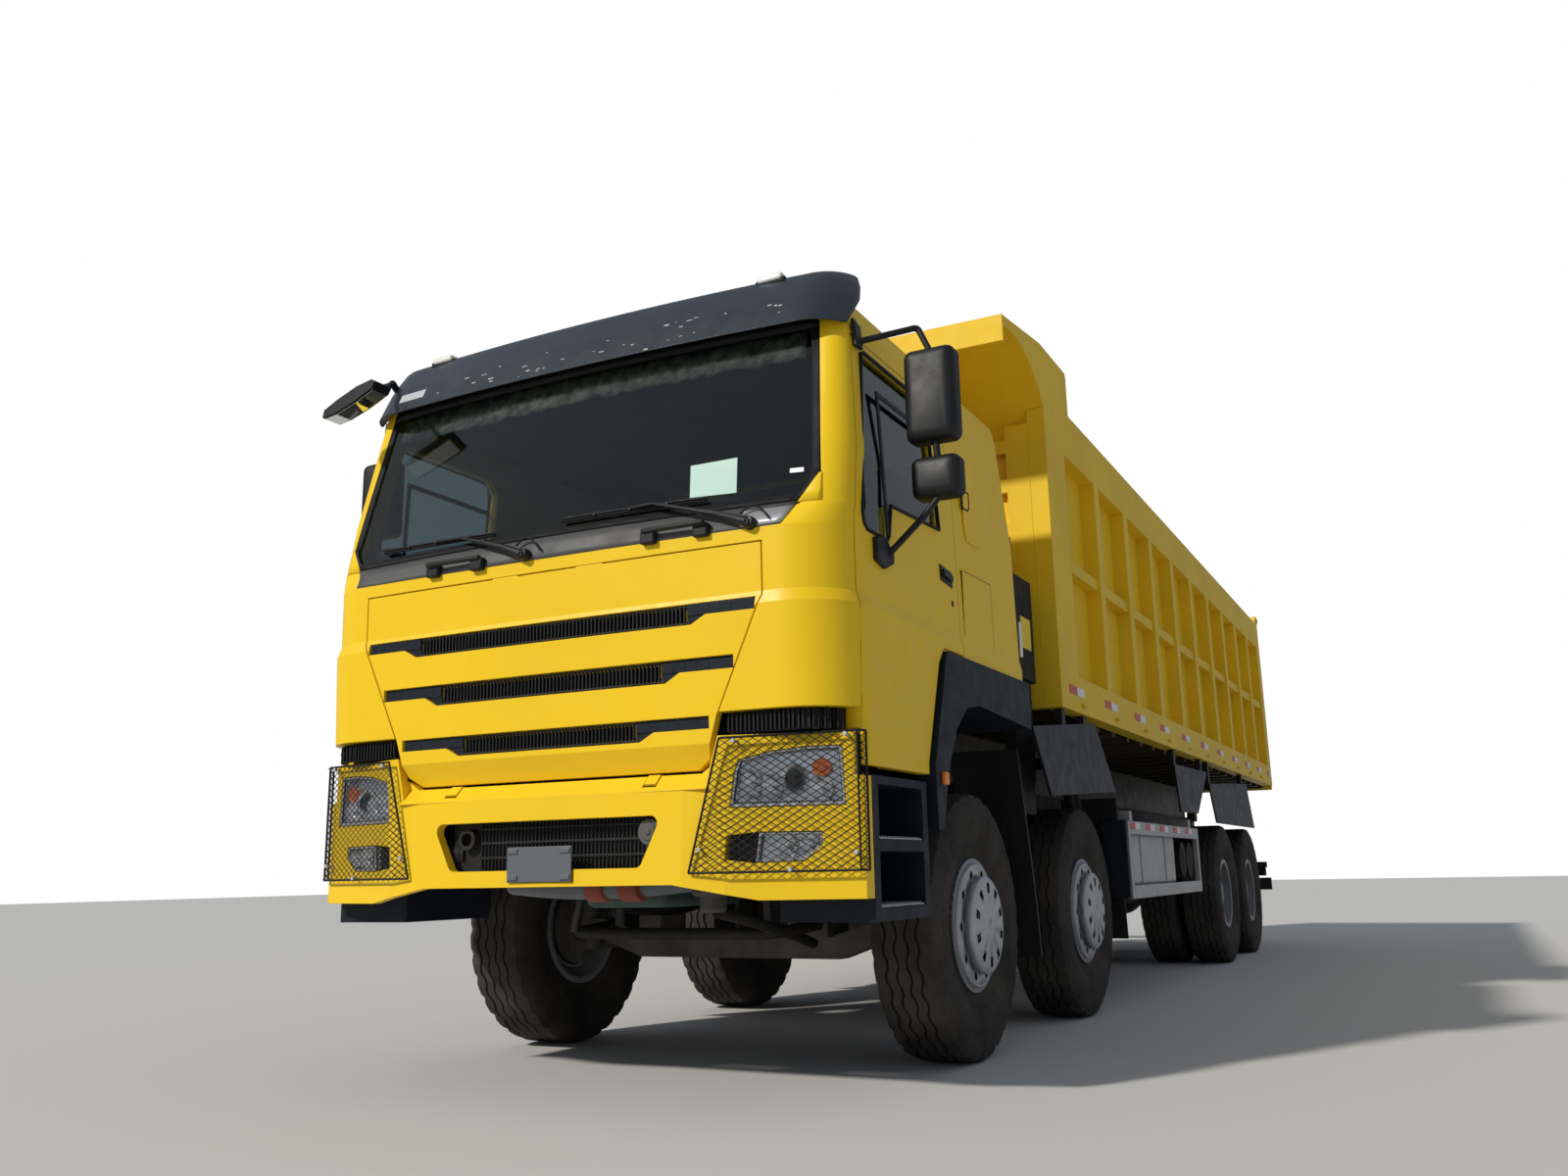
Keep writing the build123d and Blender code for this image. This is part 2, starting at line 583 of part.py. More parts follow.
def front_brackets():
    """Arms from the rail ends to the bumper, and the ears and pins the cab tilts on."""
    pieces = []
    for side in (-1, 1):
        x0, x1 = 545.0, 600.0
        inner_y = [BUMPER_FACE + BUMPER_WALL + SEAT + 8 * x / 600 for x in (x0, x1)]
        plan = [(RAIL_OUT - 1, FRAME_FRONT + 140), (RAIL_OUT - 1, FRAME_FRONT + 40),
                (x0, FRAME_FRONT + 10), (x0, inner_y[0]), (x1, inner_y[1]),
                (x1, FRAME_FRONT + 50)]
        pieces.append(prism_z([(side * x, y) for x, y in plan], RAIL_BOTTOM, RAIL_BOTTOM + 60))
        ear = prism_x([(FRAME_FRONT + 60, CAB_PIVOT_Z - 45), (FRAME_FRONT + 60, CAB_PIVOT_Z + 55),
                       (CAB_PIVOT_Y, CAB_PIVOT_Z + CAB_LUG_RADIUS),
                       (CAB_PIVOT_Y, CAB_PIVOT_Z - CAB_LUG_RADIUS)],
                      side * (RAIL_OUT - 8), side * (RAIL_OUT + 8))
        head = rod((side * (RAIL_OUT - 8), CAB_PIVOT_Y, CAB_PIVOT_Z),
                   (side * (RAIL_OUT + 8), CAB_PIVOT_Y, CAB_PIVOT_Z), CAB_LUG_RADIUS)
        pin = rod((side * (RAIL_OUT - 8), CAB_PIVOT_Y, CAB_PIVOT_Z),
                  (side * (RAIL_OUT + 60), CAB_PIVOT_Y, CAB_PIVOT_Z), CAB_PIN_RADIUS)
        pieces += [ear, head, pin]
    return pieces + [tow_socket()]


def tow_socket():
    """Plate on the right rail's end with the socket for a screw-in towing eye."""
    plate = box(-RAIL_OUT, -RAIL_OUT + RAIL_FLANGE, FRAME_FRONT - 12, FRAME_FRONT + 1,
                RAIL_BOTTOM + 30, RAIL_TOP - 100)
    boss = rod((-TOW_X, TOW_FACE, TOW_Z), (-TOW_X, FRAME_FRONT - 6, TOW_Z), TOW_BOSS_RADIUS)
    bore = rod((-TOW_X, TOW_FACE - 5, TOW_Z), (-TOW_X, TOW_FACE + TOW_BORE_DEPTH, TOW_Z),
               TOW_BORE_RADIUS)
    return (plate + boss) - bore


def hoist_cradle():
    """Cross tube and two cheeks that carry the hoist barrel's trunnions."""
    y0 = HOIST_Y + 178
    tube = box(-RAIL_OUT + 1, RAIL_OUT - 1, y0, y0 + 90, RAIL_TOP - 10, RAIL_TOP + 110)
    pieces = [tube]
    for side in (-1, 1):
        x0 = BARREL_RADIUS + RUN_GAP
        cheek = prism_x([(y0 + 5, RAIL_TOP - 10), (y0 + 5, RAIL_TOP + 110),
                         (HOIST_Y + 30, HOIST_PIVOT_Z + 62), (HOIST_Y - 62, HOIST_PIVOT_Z + 62),
                         (HOIST_Y - 62, HOIST_PIVOT_Z - 62), (HOIST_Y + 30, HOIST_PIVOT_Z - 62)],
                        side * x0, side * (x0 + 34))
        pieces.append(cheek - rod((side * (x0 - 10), HOIST_Y, HOIST_PIVOT_Z),
                                  (side * (x0 + 50), HOIST_Y, HOIST_PIVOT_Z),
                                  HOIST_PIN_RADIUS + SEAT))
    return pieces


def bed_hinge_brackets():
    """Ears on the subframe round the bed's two hinge pins."""
    pieces = []
    for side in (-1, 1):
        x0 = RAIL_OUT + 4
        ear = prism_x([(BED_HINGE_Y - 90, SUBFRAME_TOP - 80), (BED_HINGE_Y - 90, BED_HINGE_Z),
                       (BED_HINGE_Y - 40, BED_HINGE_Z + HINGE_LUG),
                       (BED_HINGE_Y + 40, BED_HINGE_Z + HINGE_LUG),
                       (BED_HINGE_Y + 90, BED_HINGE_Z), (BED_HINGE_Y + 90, SUBFRAME_TOP - 80)],
                      side * x0, side * (x0 + 40))
        foot = box(side * (RAIL_OUT - 1), side * (x0 + 40), BED_HINGE_Y - 90, BED_HINGE_Y + 90,
                   RAIL_TOP - 60, SUBFRAME_TOP - 70)
        pin_hole = rod((side * (x0 - 30), BED_HINGE_Y, BED_HINGE_Z),
                       (side * (x0 + 60), BED_HINGE_Y, BED_HINGE_Z), HINGE_PIN_RADIUS + SEAT)
        pieces.append((ear + foot) - pin_hole)
    return pieces


def bumper_line(inset):
    """Half of the bumper's front line in plan, as (x, y), moved in by inset."""
    return [(0.0, BUMPER_FACE + inset), (600.0, BUMPER_FACE + 8 + inset),
            (POD_INNER_TOP, BUMPER_FACE + POD_SET + inset),
            (BUMPER_HALF - inset, BUMPER_SIDE_Y + inset), (BUMPER_HALF - inset, BUMPER_BACK)]


def front_bumper():
    """Wrap-round bumper with air intake, open lamp pods and raised ends."""
    outer = bumper_line(0.0) + [(0.0, BUMPER_BACK)]
    inner = bumper_line(BUMPER_WALL)
    inner[-1] = (inner[-1][0], BUMPER_BACK + 1)
    inner = inner + [(0.0, BUMPER_BACK + 1)]
    shell = prism_z(outer, BUMPER_CORNER_BOTTOM, POD_TOP)
    shell = shell - prism_z(inner, BUMPER_CORNER_BOTTOM - 1, POD_TOP + 1)
    shell = shell + other_side(shell)
    shell = shell - box(POD_OUTER, BUMPER_HALF + 10, BUMPER_SIDE_Y - 60, BUMPER_BACK + 10,
                        BUMPER_SHOULDER, POD_TOP + 10)
    shell = shell - box(-POD_OUTER, -BUMPER_HALF - 10, BUMPER_SIDE_Y - 60, BUMPER_BACK + 10,
                        BUMPER_SHOULDER, POD_TOP + 10)
    shell = shell - box(-BUMPER_HALF, BUMPER_HALF, POD_REAR, BUMPER_BACK + 10, BUMPER_SHOULDER,
                        POD_TOP + 10)
    deep = (BUMPER_FACE - 60, BUMPER_BACK + 20)
    slope = (POD_INNER_TOP - POD_INNER_BOTTOM) / (POD_TOP - POD_BOTTOM)
    notch_low = POD_INNER_BOTTOM + slope * (BUMPER_TOP - POD_BOTTOM) - 22
    notch_high = POD_INNER_TOP + slope * 10 - 22
    shell = shell - prism_y([(-notch_low, BUMPER_TOP), (notch_low, BUMPER_TOP),
                             (notch_high, POD_TOP + 10), (-notch_high, POD_TOP + 10)], *deep)
    shell = shell - prism_y([(-900, BUMPER_CORNER_BOTTOM - 5), (900, BUMPER_CORNER_BOTTOM - 5),
                             (560, BUMPER_BOTTOM), (-560, BUMPER_BOTTOM)], *deep)
    intake = prism_y([(-429, 806), (429, 806), (519, 985), (-519, 985)], *deep)
    shell = shell - fillet(intake.edges().filter_by(Axis.Y), 28)
    shell = shell - box(-150, 150, BUMPER_FACE - 60, BUMPER_FACE + 12, 762, 806)
    shelf = prism_x([(-1500.0, BUMPER_TOP - 3), (-1442.0, SHELF_TOP), (-1404.0, SHELF_TOP),
                     (-1404.0, SHELF_TOP - 10), (-1438.0, SHELF_TOP - 10),
                     (-1467.0, BUMPER_TOP - 3)], -700, 700)
    for x0 in (RAIL_OUT + LUG_GAP - SLOT_ROOM, -RAIL_OUT - LUG_GAP - LUG_WIDTH - SLOT_ROOM):
        shelf = shelf - box(x0, x0 + LUG_WIDTH + 2 * SLOT_ROOM, -1482, BUMPER_BACK,
                            BUMPER_TOP + 1, SHELF_TOP + 10)
    gusset = prism_y([(640, SHELF_TOP - 8), (652, SHELF_TOP), (705, SHELF_TOP + 36),
                      (722, SHELF_TOP + 36), (712, SHELF_TOP - 8)], -1442, -1404)
    for corners in (HEAD_HOLE, FOG_HOLE):
        hole = prism_y(corners, *deep)
        shell = shell - hole - other_side(hole)
    return joined([shell, shelf] + both_sides(gusset))


def pod_plane(x):
    """Y of the pod's front line at x, on the sloping part of the bumper."""
    x0, y0 = POD_INNER_TOP, BUMPER_FACE + POD_SET
    return y0 + (x - x0) * (BUMPER_SIDE_Y - y0) / (BUMPER_HALF - x0)


def lamp_body(x0, x1, z0, z1, front, deep):
    """A lamp body that follows the slope of its pod."""
    return prism_z([(x0, pod_plane(x0) + front), (x1, pod_plane(x1) + front),
                    (x1, pod_plane(x1) + front + deep), (x0, pod_plane(x0) + front + deep)],
                   z0, z1)


def smaller(corners, share):
    """An outline scaled about its middle."""
    x = sum(c[0] for c in corners) / len(corners)
    z = sum(c[1] for c in corners) / len(corners)
    return [(x + (c[0] - x) * share, z + (c[1] - z) * share) for c in corners]


def lamps():
    """Headlamp and fog lamp in each pod, and a rear lamp at each end of the rear bar."""
    (x0, y0), (x1, y1) = bumper_line(BUMPER_WALL)[2:4]
    x1 = POD_OUTER - 12
    slope = (BUMPER_SIDE_Y - BUMPER_FACE - POD_SET) / (BUMPER_HALF - BUMPER_WALL - POD_INNER_TOP)
    near = y0 + SEAT * 1.05
    far = near + (x1 - x0) * slope
    housing = prism_z([(x0, near), (x1, far), (x1, far + 24), (x0, near + 28)],
                      POD_BOTTOM + 14, POD_TOP - 30)
    slab = lamp_body(700, POD_OUTER, POD_BOTTOM + 20, POD_TOP - 20, 10, BUMPER_WALL)
    head = prism_y(smaller(HEAD_HOLE, 0.985), BUMPER_FACE, BUMPER_BACK) & slab
    fog = prism_y(smaller(FOG_HOLE, 0.97), BUMPER_FACE, BUMPER_BACK) & slab
    front = joined([housing, head, fog])
    rear = box(760, 1130, FRAME_REAR + 66, FRAME_REAR + 120, 760, 880)
    return both_sides(front) + both_sides(rear)


def lamp_guards():
    """Flat guard over each lamp pod: a bar round the edge and a diamond lattice."""
    outline = [(POD_INNER_BOTTOM, POD_BOTTOM), (POD_INNER_TOP, POD_TOP - 10),
               (POD_OUTER - 2, POD_TOP - 4), (POD_OUTER - 2, POD_BOTTOM)]
    inner = [(POD_INNER_BOTTOM + GUARD_BAR * 1.4, POD_BOTTOM + GUARD_BAR),
             (POD_INNER_TOP + GUARD_BAR, POD_TOP - 10 - GUARD_BAR),
             (POD_OUTER - 2 - GUARD_BAR, POD_TOP - 4 - GUARD_BAR),
             (POD_OUTER - 2 - GUARD_BAR, POD_BOTTOM + GUARD_BAR)]
    back = [(POD_INNER_BOTTOM - 20, pod_plane(POD_INNER_TOP) - GUARD_PROUD),
            (POD_INNER_TOP, pod_plane(POD_INNER_TOP) - GUARD_PROUD),
            (BUMPER_HALF, pod_plane(BUMPER_HALF) - GUARD_PROUD)]
    front = [(x, y - GUARD_THICK) for x, y in reversed(back)]
    skin = prism_z(back + front, POD_BOTTOM - 10, POD_TOP + 10)
    deep = (BUMPER_FACE - 60, BUMPER_BACK)
    half = GUARD_PITCH / 2
    reach = half - GUARD_WIRE
    diamonds = []
    for row in range(int((POD_TOP - POD_BOTTOM) / half) + 1):
        for col in range(row % 2, int((POD_OUTER - POD_INNER_BOTTOM) / half) + 1, 2):
            x, z = POD_INNER_BOTTOM + col * half, POD_BOTTOM + row * half
            diamonds.append(prism_y([(x - reach, z), (x, z - reach), (x + reach, z),
                                     (x, z + reach)], *deep))
    window = Compound(diamonds) & prism_y(inner, *deep)
    guard = (prism_y(outline, *deep) & skin) - window
    stays = []
    for x in (POD_INNER_TOP + 30, POD_OUTER - 60):
        for z in (POD_BOTTOM + 7, POD_TOP - 16):
            stays.append(rod((x, pod_plane(x) - GUARD_PROUD - 2, z),
                             (x, pod_plane(x) - 2.3, z), 6))
    return both_sides(joined([guard] + stays))


def cab_steps():
    """Step box under each door, with two treads set into its outer side."""
    outer_x = BUMPER_HALF - 2
    body = box(860, outer_x, STEP_FRONT, STEP_REAR, STEP_BOTTOM, STEP_TOP)
    for z0, z1 in ((STEP_BOTTOM + 45, STEP_BOTTOM + 235), (STEP_BOTTOM + 275, STEP_TOP - 30)):
        body = body - box(outer_x - 190, outer_x + 10, STEP_FRONT + 50, STEP_REAR - 50, z0, z1)
    arm = box(RAIL_OUT + SEAT, 861, STEP_FRONT + 120, STEP_FRONT + 200, 820, 940)
    return both_sides(body + arm)


def engine_gearbox():
    """Engine and gearbox as one block on the frame."""
    block = box(-330, 330, -900, 110, 735, 1370)
    bell = rod((0, 100, 960), (0, 330, 960), 250)
    box_part = box(-190, 190, 320, GEARBOX_REAR, 760, 1130)
    mounts = [box(side * 325, side * (RAIL_OUT - RAIL_WALL - SEAT), y, y + 110, 960, 1060)
              for side in (-1, 1) for y in (-700, -60)]
    return joined([block, bell, box_part] + mounts)


def radiator():
    """Radiator core with its tanks, standing between the rail ends."""
    core = box(-330, 330, RADIATOR_FRONT, RADIATOR_FRONT + 120, 1000 + SEAT, RADIATOR_TOP)
    cowl = rod((0, RADIATOR_FRONT + 110, 1280), (0, RADIATOR_FRONT + 190, 1280), 290)
    return joined([core, cowl])


def prop_shafts():
    """Shafts from the gearbox to axle 3 by two bearings, and on to axle 4."""
    pieces = []
    # start y, start z, end y, end z
    runs = ((GEARBOX_REAR + SEAT, SHAFT_Z, BEARINGS[0] - 60, SHAFT_Z),
            (BEARINGS[0] - 60, SHAFT_Z, BEARINGS[1] + 60, SHAFT_Z),
            (BEARINGS[1] + 60, SHAFT_Z, AXLE_3 - AXLE_NOSE - SEAT, PINION_Z),
            (AXLE_3 + AXLE_TAIL + SEAT, PINION_Z, AXLE_4 - AXLE_NOSE - SEAT, PINION_Z))
    for y0, z0, y1, z1 in runs:
        shaft = rod((0, y0 + 12, z0), (0, y1 - 12, z1), SHAFT_RADIUS)
        ends = [rod((0, y, z), (0, y + inward * 30, z), SHAFT_RADIUS + 16)
                for y, z, inward in ((y0, z0, 1), (y1, z1, -1))]
        pieces.append(joined([shaft] + ends))
    hangers = [box(-80, 80, y - 30, y + 30, SHAFT_Z - 60, CROSS_LOW - SEAT) for y in BEARINGS]
    return [joined(pieces[:3] + hangers), pieces[3]]


def fuel_tank():
    """Rounded tank on the left with two straps and two bracket arms."""
    x0, x1, z0, z1 = 560.0, 1180.0, 600.0, 1070.0
    tank = box(x0, x1, TANK_FRONT, TANK_REAR, z0, z1)
    tank = fillet(tank.edges().filter_by(Axis.Y), 90)
    straps = []
    for y in (TANK_FRONT + 300, TANK_REAR - 300):
        strap = box(x0 - 6, x1 + 6, y - 35, y + 35, z0 - 6, z1 + 6)
        straps.append(fillet(strap.edges().filter_by(Axis.Y), 95))
        straps.append(box(RAIL_OUT + SEAT, x0 + 20, y - 40, y + 40, 820, z1 - 60))
    filler = rod((900, TANK_FRONT + 150, z1 - 2), (900, TANK_FRONT + 150, z1 + 40), 50)
    return joined([tank] + straps + [filler])


def battery_box():
    """Battery case and tool box in a row on the right of the frame."""
    case = box(-1150, -620, TANK_FRONT, TANK_FRONT + 760, 640, 1040)
    lid = box(-1160, -610, TANK_FRONT - 8, TANK_FRONT + 768, 1040, 1064)
    arms = [box(-621, -RAIL_OUT - SEAT, y, y + 80, 840, 960)
            for y in (TANK_FRONT + 80, TANK_FRONT + 600)]
    return joined([case, lid] + arms)


def silencer():
    """Silencer drum across the frame's right side behind the battery, with its tail pipe."""
    drum = rod((-1120, TANK_REAR + 40, 850), (-560, TANK_REAR + 40, 850), 190)
    arm = box(-600, -RAIL_OUT - SEAT, TANK_REAR, TANK_REAR + 80, 850, 1000)
    tail = rod((-900, TANK_REAR + 60, 850), (-900, TANK_REAR + 60, 560), 58)
    return joined([drum, arm, tail])


def air_tanks():
    """Brake air tanks across the frame behind the steered axles and near the tail."""
    pieces = []
    for side in (-1, 1):
        for y, z in ((4700, 820), (4980, 820)):
            drum = rod((side * 490, y, z), (side * 1130, y, z), 128)
            arm = box(side * (RAIL_OUT + SEAT), side * 560, y - 40, y + 40, 900, 1000)
            pieces.append(drum + arm)
    return pieces


def side_guards():
    """Rail frame on each side between axles 2 and 3, and the bar under the tail."""
    pieces = []
    for side in (-1, 1):
        x0, x1 = side * GUARD_X, side * (GUARD_X + 36)
        bars = [box(x0, x1, GUARD_FRONT, GUARD_REAR, z, z + 56)
                for z in (GUARD_LOW, GUARD_LOW + 200, GUARD_HIGH - 56)]
        posts = [box(x0, x1, y, y + 50, GUARD_LOW, GUARD_HIGH)
                 for y in (GUARD_FRONT, (GUARD_FRONT + GUARD_REAR) / 2, GUARD_REAR - 50)]
        arms = [box(side * (RAIL_OUT + SEAT), x0, y, y + 60, GUARD_HIGH + 10, GUARD_HIGH + 60)
                for y in (GUARD_FRONT + 60, GUARD_REAR - 330)]
        ties = [box(x0, x1, y, y + 60, GUARD_HIGH - 10, GUARD_HIGH + 60)
                for y in (GUARD_FRONT + 60, GUARD_REAR - 330)]
        pieces.append(joined(bars + posts + arms + ties))
    return pieces


def rear_bar():
    """Underrun bar and lamp beam behind the frame, on two drop arms."""
    bar = box(-1180, 1180, FRAME_REAR + 10, FRAME_REAR + 66 - SEAT, 520, 640)
    beam = box(-1150, 1150, FRAME_REAR + 10, FRAME_REAR + 66 - SEAT, 745, 800)
    arms = [box(side * 330, side * 420, FRAME_REAR - 60, FRAME_REAR + 40, 530,
                RAIL_BOTTOM - SEAT) for side in (-1, 1)]
    return joined([bar, beam] + arms)


def mudguards():
    """Sloping strip with a hanging rubber flap behind each steered wheel."""
    pieces = []
    for axle, low in ((AXLE_1, 365.0), (AXLE_2, 365.0)):
        top, foot = (axle + 548, 1330.0), (axle + 724, 610.0)
        if axle == AXLE_2:
            top, foot = (axle + 668, 1180.0), (axle + 700, 700.0)
        strip = prism_x([top, (top[0] + 12, top[1]), (foot[0] + 12, foot[1]), foot],
                        FLAP_STRIP_X0, FLAP_STRIP_X1)
        flap = prism_x([foot, (foot[0] + 12, foot[1]), (foot[0] + 44, low), (foot[0] + 32, low)],
                       FLAP_STRIP_X0, FLAP_STRIP_X1)
        arm_y = top[0] + (foot[0] - top[0]) * 0.55
        arm = rod((RAIL_OUT + SEAT, arm_y + 30, 960), (FLAP_STRIP_X0 + 200, arm_y + 30, 960), 20)
        pad = box(FLAP_STRIP_X0 + 180, FLAP_STRIP_X0 + 220, arm_y - 10, arm_y + 40, 930, 990)
        pieces += both_sides(joined([strip, flap, arm, pad]))
    return pieces


def hydraulic_tank():
    """Oil tank behind the cab's left corner, on its stand from the frame."""
    x0, x1, y0, y1, z0, z1 = OIL_TANK
    tank = box(x0, x1, y0, y1, z0, z1)
    tank = fillet(tank.edges().filter_by(Axis.Z), 40)
    cap = rod(((x0 + x1) / 2, (y0 + y1) / 2, z1 - 1), ((x0 + x1) / 2, (y0 + y1) / 2, z1 + 34), 46)
    legs = [box(x, x + 60, y0 + 30, y1 - 30, 1200, z0 + 1) for x in (x0 + 20, x1 - 90)]
    foot = box(RAIL_OUT + SEAT, x1 - 30, y0 + 60, y1 - 60, 1040, 1201)
    return joined([tank, cap, foot] + legs)


def air_intake():
    """Air intake stack and filter behind the cab's right corner, on the frame."""
    duct = box(-1120, -860, 700, 900, 1500, 2700)
    duct = fillet(duct.edges().filter_by(Axis.Z), 40)
    head = box(-1150, -830, 690, 910, 2700, 2920)
    drum = rod((-990, 720, 1330), (-990, 1100, 1330), 185)
    foot = box(-1000, -RAIL_OUT - SEAT, 780, 1020, 1060, 1200)
    return joined([duct, head, drum, foot])


def cab_section(z, half, front, bow, corner, back, inset):
    """One level outline of the cab: bowed front, round front corners, flat sides and rear."""
    half, front, rear = half - inset, front + inset, CAB_REAR - back - inset
    corner = corner - inset * 0.5
    a, shoulder = half - corner, front + bow
    tip = corner * (1 - math.sqrt(0.5))
    face = ThreePointArc((-a, shoulder, z), (0, front, z), (a, shoulder, z))
    left = ThreePointArc((a, shoulder, z), (half - tip, shoulder + tip, z),
                         (half, shoulder + corner, z))
    right = ThreePointArc((-half, shoulder + corner, z), (-half + tip, shoulder + tip, z),
                          (-a, shoulder, z))
    round_end = 60.0
    side = Line((half, shoulder + corner, z), (half, rear - round_end, z))
    back_left = ThreePointArc((half, rear - round_end, z),
                              (half - round_end * 0.29, rear - round_end * 0.29, z),
                              (half - round_end, rear, z))
    back_edge = Line((half - round_end, rear, z), (-half + round_end, rear, z))
    back_right = ThreePointArc((-half + round_end, rear, z),
                               (-half + round_end * 0.29, rear - round_end * 0.29, z),
                               (-half, rear - round_end, z))
    other = Line((-half, rear - round_end, z), (-half, shoulder + corner, z))
    return make_face([face, left, side, back_left, back_edge, back_right, other, right])


def cab_form(sections, inset, drop=0.0, lift=0.0):
    """Solid inside the cab's outline, moved in by inset, through straight-sided sections."""
    faces = []
    for n, (z, half, front, bow, corner, back) in enumerate(sections):
        if n == 0:
            z = z - drop
        if n == len(sections) - 1:
            z = z - lift
        faces.append(cab_section(z, half, front, bow, corner, back, inset))
    return loft(faces, ruled=True)


def door_outline(grow):
    """The door's side outline, made larger by grow on every edge."""
    g = grow
    return [(DOOR_FRONT - g, DOOR_BOTTOM - g), (ARCH_FRONT - 20 + g, DOOR_BOTTOM - g),
            (ARCH_FRONT - 20 + g * 0.8, 1180.0), (-560 + g * 0.6, ARCH_TRIM_TOP - 60 - g),
            (-500 + g * 0.2, ARCH_TRIM_TOP + 8 - g), (DOOR_REAR + g, ARCH_TRIM_TOP + 8 - g),
            (DOOR_REAR + g, DOOR_TOP - 40 + g * 0.5), (DOOR_REAR - 40 + g * 0.5, DOOR_TOP + g),
            (DOOR_TOP_FRONT - g * 0.5, DOOR_TOP + g), (DOOR_FRONT - g, 2030.0)]


def window_outline(shrink):
    """The door window's side outline, lower ahead of its bar, made smaller by shrink."""
    s = shrink
    front_low = DOOR_FRONT + WINDOW_FRAME - 12
    front_high = DOOR_TOP_FRONT + WINDOW_FRAME
    rear = DOOR_REAR - WINDOW_FRAME - 120
    return [(front_low + s, 2035.0), (front_low + 38 + s, WINDOW_SILL_FRONT + s),
            (WINDOW_STEP_Y - s, WINDOW_SILL_FRONT + s),
            (WINDOW_STEP_Y + 35 - s, WINDOW_SILL_REAR - 24 + s),
            (rear - s, WINDOW_SILL_REAR + s), (rear - s, WINDOW_TOP - 60 - s),
            (rear - 60 - s * 0.5, WINDOW_TOP - s), (front_high + s, WINDOW_TOP - s)]


def screen_outline(shrink):
    """The windscreen's front outline, made smaller by shrink."""
    s = shrink
    return [(-SCREEN_HALF_BOTTOM + s, SCREEN_BOTTOM + 30 + s), (-850 + s, SCREEN_BOTTOM + s),
            (850 - s, SCREEN_BOTTOM + s), (SCREEN_HALF_BOTTOM - s, SCREEN_BOTTOM + 30 + s),
            (SCREEN_HALF_TOP - s, SCREEN_TOP - s), (-SCREEN_HALF_TOP + s, SCREEN_TOP - s)]


def flap_outline(shrink):
    """The grille flap's front outline, made smaller by shrink."""
    s = shrink
    half = [(FLAP_HALF_BOTTOM - 60 - s * 0.5, FLAP_BOTTOM), (FLAP_HALF_BOTTOM - s, FLAP_CORNER_Z),
            (FLAP_HALF_SEAM - s, FLAP_SEAM_Z), (FLAP_HALF_TOP - s, 1730.0),
            (FLAP_HALF_TOP - s, FLAP_TOP - s)]
    return [(-x, z) for x, z in half] + half[::-1]


def cab_walls():
    """Cab shell below the roof: openings for screen, doors, flap and wheel arches."""
    shell = cab_form(CAB_SECTIONS, 0.0) - cab_form(CAB_SECTIONS, CAB_WALL, drop=5, lift=-5)
    wide = BED_HALF + 100
    shell = shell - prism_x(door_outline(0.0), -wide, wide)
    shell = shell - prism_y(screen_outline(0.0), -1700, CAB_MID_Y)
    below = [(-1800, 1000), (-1800, CORNER_PANEL_BOTTOM), (DOOR_FRONT + 20, CORNER_PANEL_BOTTOM),
             (DOOR_FRONT + 20, DOOR_BOTTOM + 20), (ARCH_FRONT - 50, DOOR_BOTTOM + 20),
             (ARCH_FRONT - 50, 1200), (-580, ARCH_TRIM_TOP - 50), (-510, ARCH_TRIM_TOP),
             (800, ARCH_TRIM_TOP), (800, 1000)]
    shell = shell - prism_x(below, -wide, wide)
    flap = prism_y([(x, z - (20 if z < FLAP_CORNER_Z else 0)) for x, z in flap_outline(0.0)],
                   -1700, CAB_MID_Y)
    return shell - flap


def cab_floor():
    """Floor with footwells, engine tunnel, bulkhead behind the flap and lower rear wall."""
    half = SHELL_IN - SEAT
    foot_front, foot_rear = BULKHEAD_Y, -760.0
    t = FLOOR_SHEET
    side = [(foot_front, SILL_Z), (foot_rear, SILL_Z), (-620.0, FLOOR_Z),
            (CAB_REAR - CAB_WALL, FLOOR_Z), (CAB_REAR - CAB_WALL, FLOOR_Z + t),
            (-620.0 - 6, FLOOR_Z + t), (foot_rear - 6, SILL_Z + t), (foot_front, SILL_Z + t)]
    left = prism_x(side, TUNNEL_HALF, half - 30)
    riser = prism_x([(foot_front, SILL_Z), (foot_rear, SILL_Z), (-620, FLOOR_Z),
                     (-520, FLOOR_Z + t), (-900, TUNNEL_Z), (foot_front, TUNNEL_Z)],
                    TUNNEL_HALF - t, TUNNEL_HALF)
    tunnel_line = [(foot_front, TUNNEL_Z), (-900.0, TUNNEL_Z), (-520.0, FLOOR_Z),
                   (CAB_REAR - CAB_WALL, FLOOR_Z), (CAB_REAR - CAB_WALL, FLOOR_Z + t),
                   (-520.0 + 4, FLOOR_Z + t), (-900.0 + 4, TUNNEL_Z + t),
                   (foot_front, TUNNEL_Z + t)]
    tunnel = prism_x(tunnel_line, -TUNNEL_HALF, TUNNEL_HALF)
    bulk_out = 900.0
    bulk = box(TUNNEL_HALF - t, bulk_out, foot_front, foot_front + t, SILL_Z, 1990)
    centre = box(-TUNNEL_HALF, TUNNEL_HALF, foot_front, foot_front + t, TUNNEL_Z, 1990)
    rear = box(-half, half, CAB_REAR - CAB_WALL, CAB_REAR - 2, FLOOR_Z, ARCH_TRIM_TOP - SEAT)
    right = [other_side(shape) for shape in (left, riser, bulk)]
    lugs = both_sides(cab_lug())
    return joined([left, riser, tunnel, bulk, centre, rear] + right + lugs)


